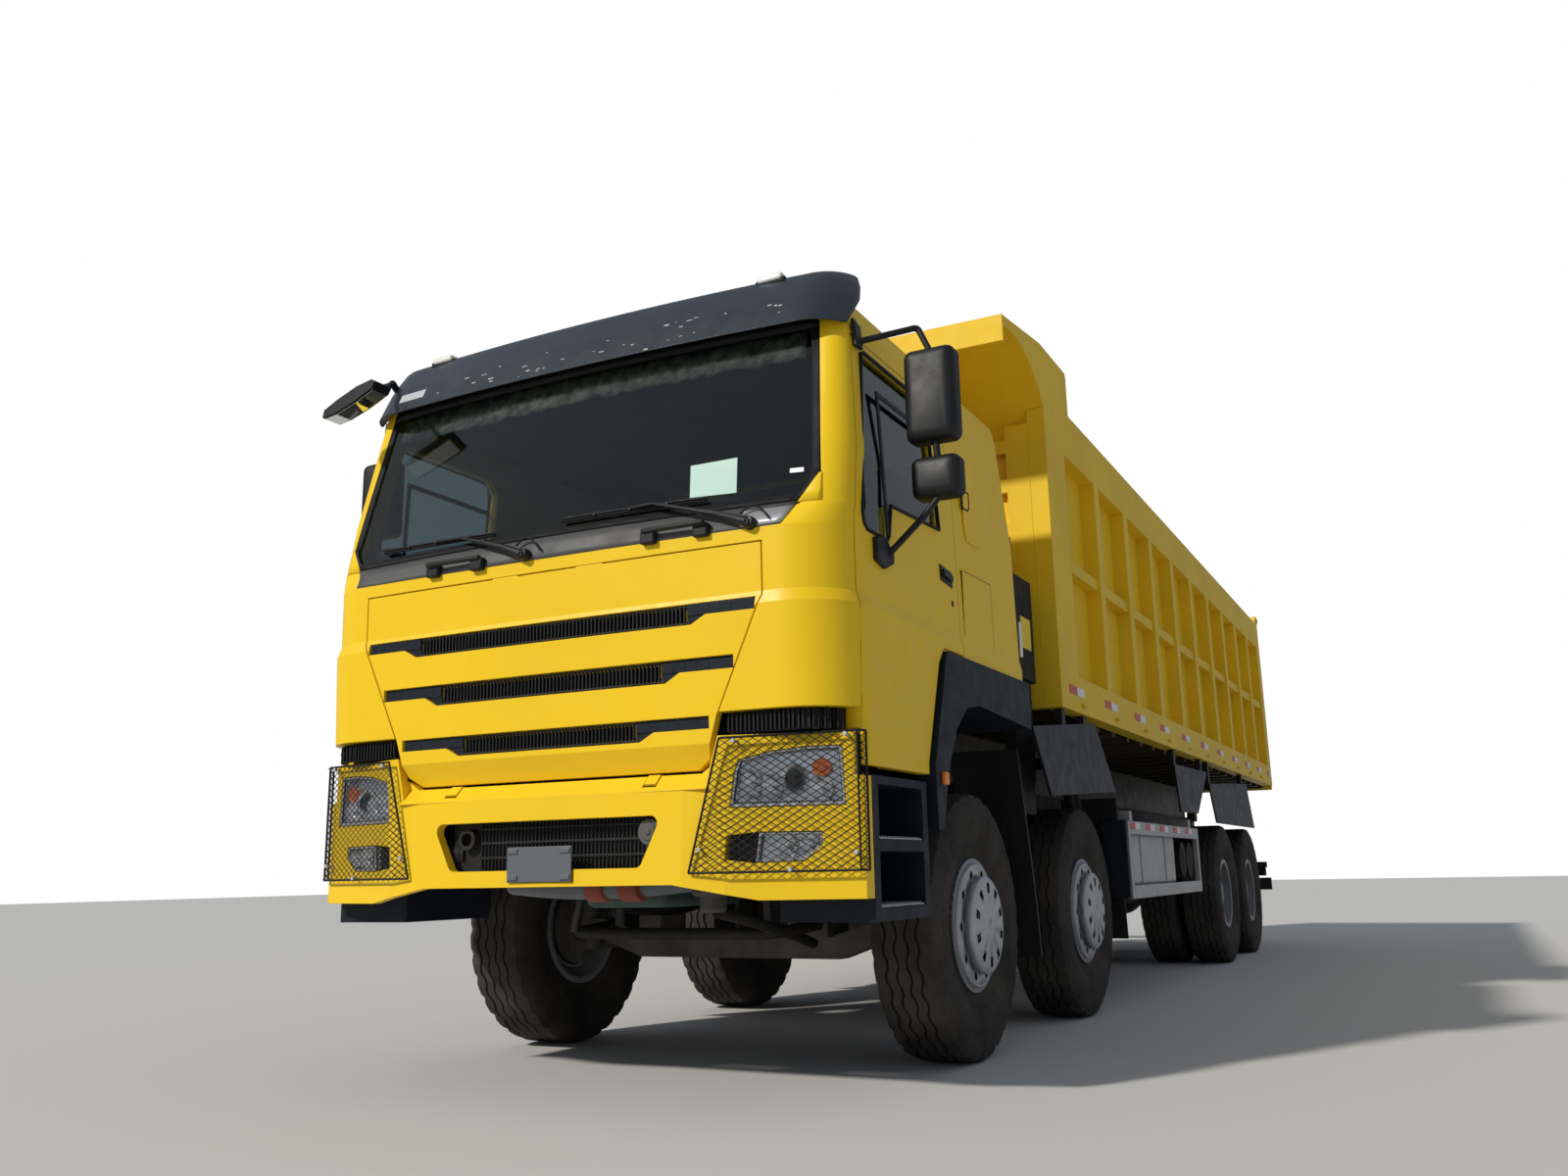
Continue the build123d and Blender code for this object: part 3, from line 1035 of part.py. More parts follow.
def cab_lug():
    """Left lug that runs back and up from the cab's tilt pin to the footwell floor."""
    x0, x1 = RAIL_OUT + LUG_GAP, RAIL_OUT + LUG_GAP + LUG_WIDTH
    y, z = CAB_PIVOT_Y, CAB_PIVOT_Z
    arm = prism_x([(y - 25, z + 37), (y + 135, z + 178), (y + 135, SILL_Z + 2),
                   (y + 215, SILL_Z + 2), (y + 215, z + 150), (y + 30, z - 33)], x0, x1)
    ring = rod((x0, y, z), (x1, y, z), CAB_LUG_RADIUS)
    bore = rod((x0 - 5, y, z), (x1 + 5, y, z), CAB_PIN_RADIUS + SEAT)
    return (arm + ring) - bore


def cab_roof():
    """Pressed roof shell, open below."""
    inner = cab_form(ROOF_SECTIONS, CAB_WALL * 0.6, drop=5, lift=22)
    return cab_form(ROOF_SECTIONS, 0.0) - inner


def windscreen():
    """Bowed glass in the screen opening."""
    glass = cab_form(CAB_SECTIONS, 6.0) - cab_form(CAB_SECTIONS, 6.0 + GLASS, drop=5, lift=-5)
    return glass & prism_y(screen_outline(SEAT), -1700, CAB_MID_Y)


def sun_visor():
    """Bent visor bowed round the cab's front edge, on brackets from the roof."""
    radius = (VISOR_HALF ** 2 + VISOR_BOW ** 2) / (2 * VISOR_BOW)
    sweep = math.degrees(math.asin(VISOR_HALF / radius))
    t = VISOR_THICK
    line = [(VISOR_FACE, 2800), (VISOR_FACE + 62, 2935), (VISOR_FACE + 142, 3056),
            (VISOR_FACE + 142 + t, 3046), (VISOR_FACE + 62 + t, 2928), (VISOR_FACE + t, 2796)]
    face = make_face(Polyline(*[(0, y, z) for y, z in line], close=True))
    pole = Axis((0, VISOR_FACE + radius, 0), (0, 0, 1))
    blade = revolve(face.rotate(pole, -sweep), pole, 2 * sweep)
    roof = cab_form(ROOF_SECTIONS, -SEAT)
    tabs = []
    for x in (-860, -330, 330, 860):
        bow = radius - math.sqrt(radius ** 2 - x ** 2)
        y0 = VISOR_FACE + 112 + bow
        tabs.append(box(x - 30, x + 30, y0, y0 + 190, 2985, 3012) - roof)
    return joined([blade] + tabs)


def dashboard():
    """Dashboard across the cab with an instrument hood, and the steering wheel on its column."""
    line = [(DASH_FRONT, 1700), (DASH_FRONT, 1985), (-1290, 2010), (-1120, 1985), (-1010, 1890),
            (-1030, 1780), (-1150, 1700)]
    dash = prism_x(line, -1000, 1000)
    hood = prism_x([(-1190, 1960), (-1130, 2060), (-1010, 2030), (-1000, 1890)], 330, 790)
    column = rod((560, -1080, 1880), (560, -860, 2010), 34)
    tilt = Plane(origin=(560, -852, 2015), z_dir=(0, 220, 130))
    ring = tilt * Torus(215, 15)
    spokes = [tilt * Rot(0, 0, turn) * Pos(105, 0, 0) * Box(216, 30, 10)
              for turn in (90, 210, 330)]
    boss = tilt * Cylinder(50, 30)
    return joined([dash, hood, column, ring, boss] + spokes)


def seats():
    """Two seats on their plinths and the bunk behind them."""
    pieces = []
    for x in (-560, 560):
        plinth = box(x - 200, x + 200, -500, -120, FLOOR_Z + FLOOR_SHEET + SEAT, 1700)
        cushion = box(x - 250, x + 250, -620, -100, 1700, 1840)
        back = prism_x([(-180, 1840), (-60, 1830), (30, 2480), (-50, 2490)], x - 245, x + 245)
        head = prism_x([(-60, 2500), (20, 2495), (40, 2680), (-30, 2680)], x - 130, x + 130)
        post = box(x - 60, x + 60, -40, 10, 2470, 2510)
        pieces.append(joined([plinth, cushion, back, post, head]))
    bunk = box(-1100, 1100, 100, CAB_REAR - CAB_WALL - 4, FLOOR_Z + FLOOR_SHEET + SEAT, 1900)
    return pieces + [bunk]


def arch_trims():
    """Plastic arch over each front wheel: outer lip and inner liner."""
    lip_out = 1246.0
    inner = [(ARCH_FRONT + 62, 930.0), (-560.0, 1150.0), (-440.0, 1330.0), (-300.0, 1430.0),
             (-139.0, ARCH_INNER_TOP), (CAB_REAR - 20, 1420.0)]
    top = ARCH_TRIM_TOP - SEAT
    outer = [(CAB_REAR - 8, 1420.0), (CAB_REAR - 8, top), (-505.0, top),
             (-538.0, ARCH_TRIM_TOP - 66), (ARCH_FRONT - 4, 1175.0), (ARCH_FRONT, 930.0)]
    lip = prism_x(inner + outer, SHELL_IN + 2, lip_out)
    t = 10.0
    liner_line = inner + [(y - t, z + t) for y, z in reversed(inner)]
    liner = prism_x(liner_line, 820.0, SHELL_IN + 3)
    return both_sides(lip + liner)


def wipers():
    """Two arms with blades that lie along the foot of the windscreen."""
    pieces = []
    skin = cab_form(CAB_SECTIONS, -SEAT)
    for pivot, tip in ((-330.0, -930.0), (560.0, -110.0)):
        stalk = rod((pivot, -1470, 2010), (pivot, WIPER_Y - 4, 2010), 14) - skin
        elbow = tip + (pivot - tip) * 0.35
        arm = rod((pivot, WIPER_Y, 2010), (elbow, WIPER_Y, 2108), 9)
        blade = rod((pivot - (pivot - tip) * 0.12, WIPER_Y + 2, 2098), (tip, WIPER_Y + 2, 2114), 8)
        pieces.append(joined([stalk, arm, blade]))
    return pieces


def kerb_mirror():
    """Flat mirror ahead of the cab's right front corner on a bent arm from the visor end."""
    x = -1090.0
    bow = VISOR_BOW * (x / VISOR_HALF) ** 2
    foot_y, foot_z = VISOR_FACE + 62 + 16.5 + bow, 2960.0
    lean = math.atan2(121.0, 80.0)
    out_y, out_z = -math.sin(lean), math.cos(lean)
    tip = (x, foot_y + 46 * out_y, foot_z + 46 * out_z)
    root = rod((x, foot_y + 1.6 * out_y, foot_z + 1.6 * out_z), tip, 16)
    arm = rod(tip, (-1000.0, -1475.0, 2856.0), 12)
    knob = Sphere(17.5).moved(Location(tip))
    head = prism_y([(-1203, 2752), (-1196, 2786), (-1120, 2822), (-1010, 2862), (-925, 2878),
                    (-906, 2866), (-922, 2838), (-1020, 2796), (-1130, 2762)], -1540, -1440)
    return joined([head, arm, root, knob])


def door():
    """Left door: the whole wall thickness inside its seam, with the window cut."""
    shell = cab_form(CAB_SECTIONS, 0.0) - cab_form(CAB_SECTIONS, CAB_WALL, drop=5, lift=-5)
    panel = shell & prism_x(door_outline(-DOOR_GAP), 700, 1400)
    panel = panel - prism_x(window_outline(0.0), 700, 1400)
    reach = math.hypot(POD_REAR - CAB_PIVOT_Y, POD_TOP - CAB_PIVOT_Z) + 2 * RUN_GAP
    swept = rod((700, CAB_PIVOT_Y, CAB_PIVOT_Z), (POD_OUTER + RUN_GAP, CAB_PIVOT_Y, CAB_PIVOT_Z),
                reach)
    handle = box(1200, 1224, -470, -330, 1960, 2006)
    edge = DOOR_FRONT + DOOR_GAP
    hinges = [rod((DOOR_HINGE_X, edge, z), (DOOR_HINGE_X, edge, z + 110), HINGE_BARREL)
              for z in DOOR_HINGE_LOWS]
    return joined([panel - swept - handle] + hinges)


def door_glass():
    """Pane in the left door's window."""
    pane = cab_form(CAB_SECTIONS, 14.0) - cab_form(CAB_SECTIONS, 20.0, drop=5, lift=-5)
    return pane & prism_x(window_outline(SEAT), 700, 1400)


def side_normal(z):
    """Half width of the cab at z, and the outward direction of its left side there."""
    for low, high in zip(CAB_SECTIONS, CAB_SECTIONS[1:]):
        if low[0] <= z <= high[0]:
            slope = (high[1] - low[1]) / (high[0] - low[0])
            return low[1] + slope * (z - low[0]), Vector(1, 0, -slope).normalized()


def mirror_case(x0, x1, y0, y1, z0, z1):
    """A mirror housing with a rounded front."""
    w = x1 - x0
    case = prism_z([(x0, y1), (x0, y0 + 34), (x0 + w * 0.14, y0 + 10), (x0 + w * 0.36, y0),
                    (x0 + w * 0.64, y0), (x0 + w * 0.86, y0 + 10), (x1, y0 + 34), (x1, y1)],
                   z0, z1)
    return fillet(case.edges().filter_by(Axis.Y), 24)


def door_mirror():
    """Left mirror pair on a bent arm between two feet on the door."""
    x0 = MIRROR_OUT - MIRROR_WIDTH
    main = mirror_case(x0, MIRROR_OUT, -1018, -934, 2361, 2734)
    small = mirror_case(x0 + 8, MIRROR_OUT - 2, -1002, -922, 2141, 2306)
    top, bend = (1398.0, -972.0, 2720.0), (1352.0, -974.0, 2827.0)
    low, elbow = (1412.0, -962.0, 2155.0), (1345.0, -984.0, 2068.0)
    hanger = rod(top, bend, 15)
    stem = rod((1404, -968, 2375), (1408, -965, 2290), 14)
    lower = rod(low, elbow, 15)
    arms = []
    for end, pad_y, pad_z in ((bend, -1150, 2745), (elbow, -1040, 1925)):
        root, out = side_normal(pad_z)
        seat_point = Vector(root, pad_y, pad_z) + out * SEAT
        tip = seat_point + out * 26
        arms.append(rod(tuple(seat_point), tuple(tip), 24))
        arms.append(rod(end, tuple(seat_point + out * 14), 12))
    knobs = [Sphere(16.5).moved(Location(bend)), Sphere(16.5).moved(Location(elbow))]
    return joined([main, small, hanger, stem, lower] + knobs + arms)


def grille_flap():
    """Front flap with three wide recesses, narrower at their ends and open in the middle."""
    shell = cab_form(CAB_SECTIONS, 0.0) - cab_form(CAB_SECTIONS, FLAP_THICK, drop=5, lift=-5)
    flap = shell & prism_y(flap_outline(FLAP_GAP), -1700, CAB_MID_Y)
    core = cab_form(CAB_SECTIONS, SLOT_DEPTH, drop=5, lift=-5)
    # slot: bottom, top, half width, half width of the deep middle
    for z0, z1, half, middle in SLOTS:
        band = z0 + (z1 - z0) * 0.42
        slot = prism_y([(-half, band), (-middle - 60, band), (-middle, z0), (middle, z0),
                        (middle + 60, band), (half, band), (half, z1), (-half, z1)],
                       -1700, CAB_MID_Y)
        flap = flap - (slot - core)
        flap = flap - box(-middle + 30, middle - 30, -1700, CAB_MID_Y, z0 + 14, z1 - 14)
    barrels = [rod((x - 60, FLAP_HINGE_Y, FLAP_TOP - FLAP_GAP),
                   (x + 60, FLAP_HINGE_Y, FLAP_TOP - FLAP_GAP), HINGE_BARREL)
               for x in (-FLAP_HINGE_X, FLAP_HINGE_X)]
    return joined([flap] + barrels)


def bed_side():
    """Left bed wall: sheet with posts, rails, pockets and the raised front shoulder."""
    x0, x1 = BED_HALF - BED_WALL, BED_HALF
    slope = 14.0
    outline = [(BED_FRONT, BED_BOTTOM), (BED_REAR, BED_BOTTOM), (BED_REAR, BED_SIDE_TOP),
               (BED_SHOULDER_REAR, BED_SIDE_TOP), (BED_SHOULDER_REAR, BED_FRONT_TOP - 30),
               (BED_SHOULDER_REAR - 14, BED_FRONT_TOP - 4), (BED_FRONT, BED_FRONT_TOP - 4)]
    wall = prism_x(outline, x0, x1)
    for n in range(BAYS):
        y0 = FIRST_POCKET + n * BAY_PITCH
        y1 = y0 + BAY_PITCH - POST_WIDTH
        for z0, z1 in ((POCKET_BOTTOM, MID_RAIL_BOTTOM), (MID_RAIL_TOP, POCKET_TOP)):
            cut = prism_x([(y0, z0 - slope), (y1, z0 - slope), (y1, z1), (y0, z1)],
                          x0 + BED_SHEET, x1 + 10)
            wall = wall - cut
        wall = wall - box(x1 - 16, x1 + 10, y0, y1, MID_RAIL_BOTTOM, MID_RAIL_TOP)
    lug = prism_x([(BED_REAR - 150, BED_SIDE_TOP - 1), (BED_REAR - 60, TAILGATE_PIN_Z + 40),
                   (TAILGATE_PIN_Y + 31, TAILGATE_PIN_Z + 40),
                   (TAILGATE_PIN_Y + 31, TAILGATE_PIN_Z - 34),
                   (BED_REAR, BED_SIDE_TOP + RUN_GAP), (BED_REAR - 1, BED_SIDE_TOP - 60),
                   (BED_REAR - 150, BED_SIDE_TOP - 60)], x1 - 42, x1 - 2)
    hole = rod((x1 - 60, TAILGATE_PIN_Y, TAILGATE_PIN_Z), (x1 + 10, TAILGATE_PIN_Y,
                                                           TAILGATE_PIN_Z), 20 + SEAT)
    return (wall + lug) - hole


def bed_floor():
    """Floor plate on cross members and two long beams with the hinge eyes."""
    inner = BED_HALF - BED_WALL - SEAT
    floor = box(-inner, inner, BED_FRONT + HEADBOARD_THICK + SEAT, BED_REAR, BED_FLOOR_TOP - 12,
                BED_FLOOR_TOP)
    floor = floor - box(-RECESS_HALF - 12 - SEAT, RECESS_HALF + 12 + SEAT, BED_FRONT,
                        BED_FRONT + RECESS_DEPTH + 12 + SEAT, BED_FLOOR_TOP - 20,
                        BED_FLOOR_TOP + 10)
    pieces = [floor]
    count = 21
    start = BED_FRONT + RECESS_DEPTH + 60
    pitch = (BED_REAR - 80 - start) / (count - 1)
    for n in range(count):
        y = start + n * pitch
        pieces.append(box(-inner, inner, y - 32, y + 32, BED_BOTTOM - 26, BED_FLOOR_TOP - 12))
    for side in (-1, 1):
        for y0, y1, low in ((start - 40, BED_HINGE_Y - 160, SUBFRAME_TOP + SEAT),
                            (BED_HINGE_Y - 161, BED_HINGE_Y + 140, SUBFRAME_TOP + 90)):
            pieces.append(box(side * (RAIL_OUT - SUBFRAME_WIDTH), side * RAIL_OUT, y0, y1, low,
                              BED_BOTTOM - 20))
        x0 = RAIL_OUT + 4 + 40 + SEAT
        eye = prism_x([(BED_HINGE_Y - 110, BED_BOTTOM - 20), (BED_HINGE_Y - 46, BED_HINGE_Z - 30),
                       (BED_HINGE_Y + 46, BED_HINGE_Z - 30), (BED_HINGE_Y + 110, BED_BOTTOM - 20)],
                      side * x0, side * (x0 + 40))
        web = box(side * (RAIL_OUT - 2), side * (x0 + 40), BED_HINGE_Y - 110, BED_HINGE_Y + 110,
                  BED_BOTTOM - 150, BED_BOTTOM - 20)
        round_end = rod((side * x0, BED_HINGE_Y, BED_HINGE_Z),
                        (side * (x0 + 40), BED_HINGE_Y, BED_HINGE_Z), 58)
        pin = rod((side * (RAIL_OUT + 1), BED_HINGE_Y, BED_HINGE_Z),
                  (side * (x0 + 40), BED_HINGE_Y, BED_HINGE_Z), HINGE_PIN_RADIUS)
        pieces += [eye, web, round_end, pin]
    return joined(pieces)


def bed_headboard():
    """Front wall with ribs, hoist recess and eye bracket, bent forward into the canopy."""
    inner = BED_HALF - BED_WALL - SEAT
    y0, y1 = BED_FRONT, BED_FRONT + HEADBOARD_THICK
    sheet_front = y0 + 50
    wall = box(-inner, inner, sheet_front, y1, BED_BOTTOM, BED_FRONT_TOP - 10)
    posts = [box(side * (inner - 130), side * inner, y0, sheet_front + 1, BED_BOTTOM, CANOPY_ROOT)
             for side in (-1, 1)]
    ribs = [box(-inner, inner, y0, sheet_front + 1, z - 38, z + 38) for z in (2559, 2807, 3030)]
    low = box(-inner, inner, y0, sheet_front + 1, BED_BOTTOM, BED_BOTTOM + 130)
    hole = box(-RECESS_HALF, RECESS_HALF, y0 - 10, y1 + 10, BED_BOTTOM - 10, RECESS_TOP)
    body = joined([wall] + posts + ribs + [low]) - hole
    back_y = y0 + RECESS_DEPTH
    cover_line = [(sheet_front, RECESS_TOP + 14), (y1, RECESS_TOP + 14), (back_y + 12, 2140.0),
                  (back_y + 12, BED_BOTTOM), (back_y, BED_BOTTOM), (back_y, 2134.0),
                  (y1 - 4, RECESS_TOP), (sheet_front, RECESS_TOP)]
    cover = prism_x(cover_line, -RECESS_HALF - 12, RECESS_HALF + 12)
    cheek = prism_x([(y0 + 50, RECESS_TOP + 14), (y1, RECESS_TOP + 14), (back_y + 12, 2140.0),
                     (back_y + 12, BED_BOTTOM), (y0 + 50, BED_BOTTOM)],
                    RECESS_HALF, RECESS_HALF + 12)
    return joined([body, cover, cheek, other_side(cheek), canopy()] + eye_bracket())


def canopy():
    """Cab protector: sheet that curves forward from the headboard, flange and gussets."""
    y0 = BED_FRONT + 50
    t, lip = 16.0, 24.0
    end, x = CANOPY_TIP + lip, -BED_HALF
    low, mid, tip = (y0, CANOPY_ROOT), (y0 - 190, CANOPY_ROOT + 205), (end, CANOPY_TIP_TOP - 60)
    under = ThreePointArc((x, *low), (x, *mid), (x, *tip))
    front = Polyline((x, *tip), (x, end, CANOPY_TIP_BOTTOM), (x, CANOPY_TIP, CANOPY_TIP_BOTTOM),
                     (x, CANOPY_TIP, CANOPY_TIP_TOP), (x, end, CANOPY_TIP_TOP),
                     (x, end, tip[1] + t))
    over = ThreePointArc((x, end, tip[1] + t), (x, mid[0] + t * 0.6, mid[1] + t * 0.8),
                         (x, low[0] + t, low[1]))
    foot = Line((x, low[0] + t, low[1]), (x, *low))
    sheet = extrude(make_face([under, front, over, foot]), amount=2 * BED_HALF, dir=(1, 0, 0))
    top_bar = box(-BED_HALF + BED_WALL + SEAT, BED_HALF - BED_WALL - SEAT, y0,
                  BED_FRONT + HEADBOARD_THICK, BED_FRONT_TOP - 60, BED_FRONT_TOP)
    gussets = []
    for gx in (-BED_HALF, -420.0, 408.0, BED_HALF - 12):
        curve = ThreePointArc((gx, BED_FRONT - SEAT, CANOPY_ROOT + 90),
                              (gx, mid[0], mid[1] + t * 0.4), (gx, end - 6, tip[1] + t * 0.4))
        rest = Polyline((gx, end - 6, tip[1] + t * 0.4), (gx, end - 6, CANOPY_TIP_TOP),
                        (gx, BED_FRONT - SEAT, BED_FRONT_TOP - 4),
                        (gx, BED_FRONT - SEAT, CANOPY_ROOT + 90))
        gussets.append(extrude(make_face([curve, rest]), amount=12.0, dir=(1, 0, 0)))
    ties = [box(gx, gx + 12, BED_FRONT - 2, y0 + 4, CANOPY_ROOT + 150, BED_FRONT_TOP - 10)
            for gx in (-420.0, 408.0)]
    hood = joined([sheet] + gussets)
    for side in (-1, 1):
        hood = hood - box(side * (BED_HALF - BED_WALL - SEAT), side * (BED_HALF + 10),
                          BED_FRONT - SEAT, y0 + 60, CANOPY_ROOT - 10, BED_FRONT_TOP + 10)
    return joined([hood, top_bar] + ties)


def eye_bracket():
    """Two cheeks ahead of the headboard for the hoist's top pin, on a pad."""
    pad = box(-200, 200, BED_FRONT - 20, BED_FRONT + 60, HOIST_EYE_Z - 150, HOIST_EYE_Z + 150)
    pieces = [pad]
    for side in (-1, 1):
        x0 = EYE_CHEEK_X
        cheek = prism_x([(BED_FRONT, HOIST_EYE_Z - 150), (BED_FRONT, HOIST_EYE_Z + 150),
                         (HOIST_Y - 30, HOIST_EYE_Z + 60), (HOIST_Y - 60, HOIST_EYE_Z + 20),
                         (HOIST_Y - 60, HOIST_EYE_Z - 45), (HOIST_Y + 40, HOIST_EYE_Z - 60)],
                        side * x0, side * (x0 + 26))
        head = rod((side * (x0 + 20), HOIST_Y, HOIST_EYE_Z),
                   (side * (x0 + 44), HOIST_Y, HOIST_EYE_Z), HOIST_PIN_RADIUS)
        pieces += [cheek, head]
    return pieces


def bed_fenders():
    """Splash plates that hang from the bed's lower edge beside the wheels."""
    pieces = []
    # front top, rear top, rear bottom, front bottom, each as (y, z)
    plates = (((640, 1442), (1847, 1564), (2246, 1202), (900, 1123)),
              ((4080, 1480), (5380, 1498), (4870, 1160), (4200, 1150)),
              ((5469, 1410), (7481, 1512), (7788, 1112), (5700, 1110)))
    for plate in plates:
        panel = prism_x(list(plate), BED_HALF - 20, BED_HALF - 6)
        y_mid = (plate[0][0] + plate[1][0]) / 2
        ties = [box(BED_HALF - 60, BED_HALF - 20, y - 30, y + 30, z - 60, BED_BOTTOM - SEAT)
                for y, z in ((max(plate[0][0] + 80, BED_FRONT + 80), plate[0][1] + 20),
                             (plate[1][0] - 160, plate[1][1] - 10))]
        pieces += both_sides(joined([panel] + ties))
    return pieces


def tailgate():
    """Top-hung tailgate with vertical ribs and its two hinge arms and pins."""
    y0 = BED_REAR + RUN_GAP
    y1 = OVERALL_LENGTH - FRONT_OVERHANG
    half = BED_HALF - 14
    z0, z1 = BED_BOTTOM - 40, BED_SIDE_TOP - 2
    sheet = box(-half, half, y0, y0 + BED_SHEET, z0, z1)
    rails = [box(-half, half, y0, y1, z, z + 110) for z in (z0, z1 - 110)]
    mid = box(-half, half, y0, y1 - 6, 2400, 2480)
    posts = [box(x - 55, x + 55, y0, y1 - 4, z0, z1) for x in
             [-half + 55 + n * (2 * half - 110) / 6 for n in range(7)]]
    arms = []
    for side in (-1, 1):
        x0 = BED_HALF - 42 - SEAT - 50
        arms.append(prism_x([(y0 + 8, z1 - 40), (TAILGATE_PIN_Y - 24, TAILGATE_PIN_Z + 30),
                             (TAILGATE_PIN_Y + 24, TAILGATE_PIN_Z + 30), (y1, z1 - 40)],
                            side * x0, side * (x0 + 50)))
        arms.append(rod((side * x0, TAILGATE_PIN_Y, TAILGATE_PIN_Z),
                        (side * (BED_HALF - 2), TAILGATE_PIN_Y, TAILGATE_PIN_Z), 20))
    return joined([sheet] + rails + [mid] + posts + arms)


def hoist_barrel():
    """Outer barrel with its base, top collar and two trunnions."""
    tube = rod((0, HOIST_Y, BARREL_BOTTOM), (0, HOIST_Y, BARREL_TOP), BARREL_RADIUS)
    bore = rod((0, HOIST_Y, BARREL_BOTTOM + BARREL_FLOOR), (0, HOIST_Y, BARREL_TOP + 10),
               BARREL_RADIUS - HOIST_WALL)
    reach = BARREL_RADIUS + RUN_GAP + 40
    pins = rod((-reach, HOIST_Y, HOIST_PIVOT_Z), (reach, HOIST_Y, HOIST_PIVOT_Z),
               HOIST_PIN_RADIUS)
    collar = rod((0, HOIST_Y, BARREL_TOP - 60), (0, HOIST_Y, BARREL_TOP), BARREL_RADIUS + 7)
    return (tube + collar + pins) - bore


def hoist_stage(number):
    """One ram stage, counted from the outside; the last one carries the top eye."""
    radius = BARREL_RADIUS - HOIST_WALL - HOIST_FIT - (number - 1) * STAGE_STEP
    low = BARREL_BOTTOM + BARREL_FLOOR + SEAT + (number - 1) * (STAGE_FLOOR + SEAT)
    last = number == HOIST_STAGES
    top = HOIST_EYE_Z - 52 if last else BARREL_TOP + number * 14
    stage = rod((0, HOIST_Y, low), (0, HOIST_Y, top), radius)
    if not last:
        inner = radius - STAGE_STEP + HOIST_FIT
        return stage - rod((0, HOIST_Y, low + STAGE_FLOOR), (0, HOIST_Y, top + 10), inner)
    half = EYE_CHEEK_X - SEAT
    eye = rod((-half, HOIST_Y, HOIST_EYE_Z), (half, HOIST_Y, HOIST_EYE_Z), 58)
    return stage + eye


def right_of(shape):
    """A list of the mirrored solids of a shape or a list of shapes."""
    shapes = shape if isinstance(shape, list) else [shape]
    return [other_side(one) for one in shapes]


def steered(axle, number):
    """Nodes of one steered axle's knuckles, wheels and track rod."""
    wheel = front_wheel(axle)
    turned_knuckle = knuckle(axle)
    return {
        f"wheel_{number}_left": wheel,
        f"wheel_{number}_right": right_of(wheel),
        f"knuckle_{number}_left": turned_knuckle,
        f"knuckle_{number}_right": other_side(turned_knuckle),
        f"track_rod_{number}": track_rod(axle),
    }


def driven(axle, number):
    """Nodes of one driven axle's twin wheels."""
    wheel = twin_wheel(axle)
    return {f"wheel_{number}_left": wheel, f"wheel_{number}_right": right_of(wheel)}


def build():
    """Every node of the truck by name."""
    left_door, left_glass, left_mirror = door(), door_glass(), door_mirror()
    nodes = {
        "frame": frame(),
        "front_bumper": front_bumper(),
        "lamps": lamps(),
        "lamp_guards": lamp_guards(),
        "cab_steps": cab_steps(),
        "engine_gearbox": engine_gearbox(),
        "radiator": radiator(),
        "axles": [front_axle_beam(AXLE_1), front_axle_beam(AXLE_2), rear_axle(AXLE_3),
                  rear_axle(AXLE_4)],
        "suspension": suspension(),
        "prop_shafts": prop_shafts(),
        "fuel_tank": fuel_tank(),
        "battery_box": battery_box(),
        "silencer": silencer(),
        "air_tanks": air_tanks(),
        "side_guards": side_guards(),
        "rear_bar": rear_bar(),
        "mudguards": mudguards(),
        "hydraulic_tank": hydraulic_tank(),
        "air_intake": air_intake(),
        "cab_walls": cab_walls(),
        "cab_floor": cab_floor(),
        "cab_roof": cab_roof(),
        "windscreen": windscreen(),
        "sun_visor": sun_visor(),
        "dashboard": dashboard(),
        "seats": seats(),
        "arch_trims": arch_trims(),
        "wipers": wipers(),
        "kerb_mirror": kerb_mirror(),
        "door_left": left_door,
        "door_right": other_side(left_door),
        "door_glass_left": left_glass,
        "door_glass_right": other_side(left_glass),
        "door_mirror_left": left_mirror,
        "door_mirror_right": other_side(left_mirror),
        "grille_flap": grille_flap(),
        "bed_floor": bed_floor(),
        "bed_sides": both_sides(bed_side()),
        "bed_headboard": bed_headboard(),
        "bed_fenders": bed_fenders(),
        "tailgate": tailgate(),
        "hoist_barrel": hoist_barrel(),
    }
    for number in range(1, HOIST_STAGES + 1):
        nodes[f"hoist_stage_{number}"] = hoist_stage(number)
    nodes.update(steered(AXLE_1, 1))
    nodes.update(steered(AXLE_2, 2))
    nodes.update(driven(AXLE_3, 3))
    nodes.update(driven(AXLE_4, 4))
    return nodes


def export(nodes):
    """Write each node about the middle of the overall length."""
    to_middle = Pos(0, FRONT_OVERHANG - OVERALL_LENGTH / 2, 0)
    for name, shapes in nodes.items():
        shapes = shapes if isinstance(shapes, list) else [shapes]
        solids = [solid for shape in shapes for solid in (to_middle * shape).solids()]
        whole = solids[0] if len(solids) == 1 else Compound(solids)
        export_step(whole, f"parts/{name}.step")


export(build())
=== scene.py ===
import json
import math
import random

import bmesh
import bpy
from mathutils import Matrix, Vector


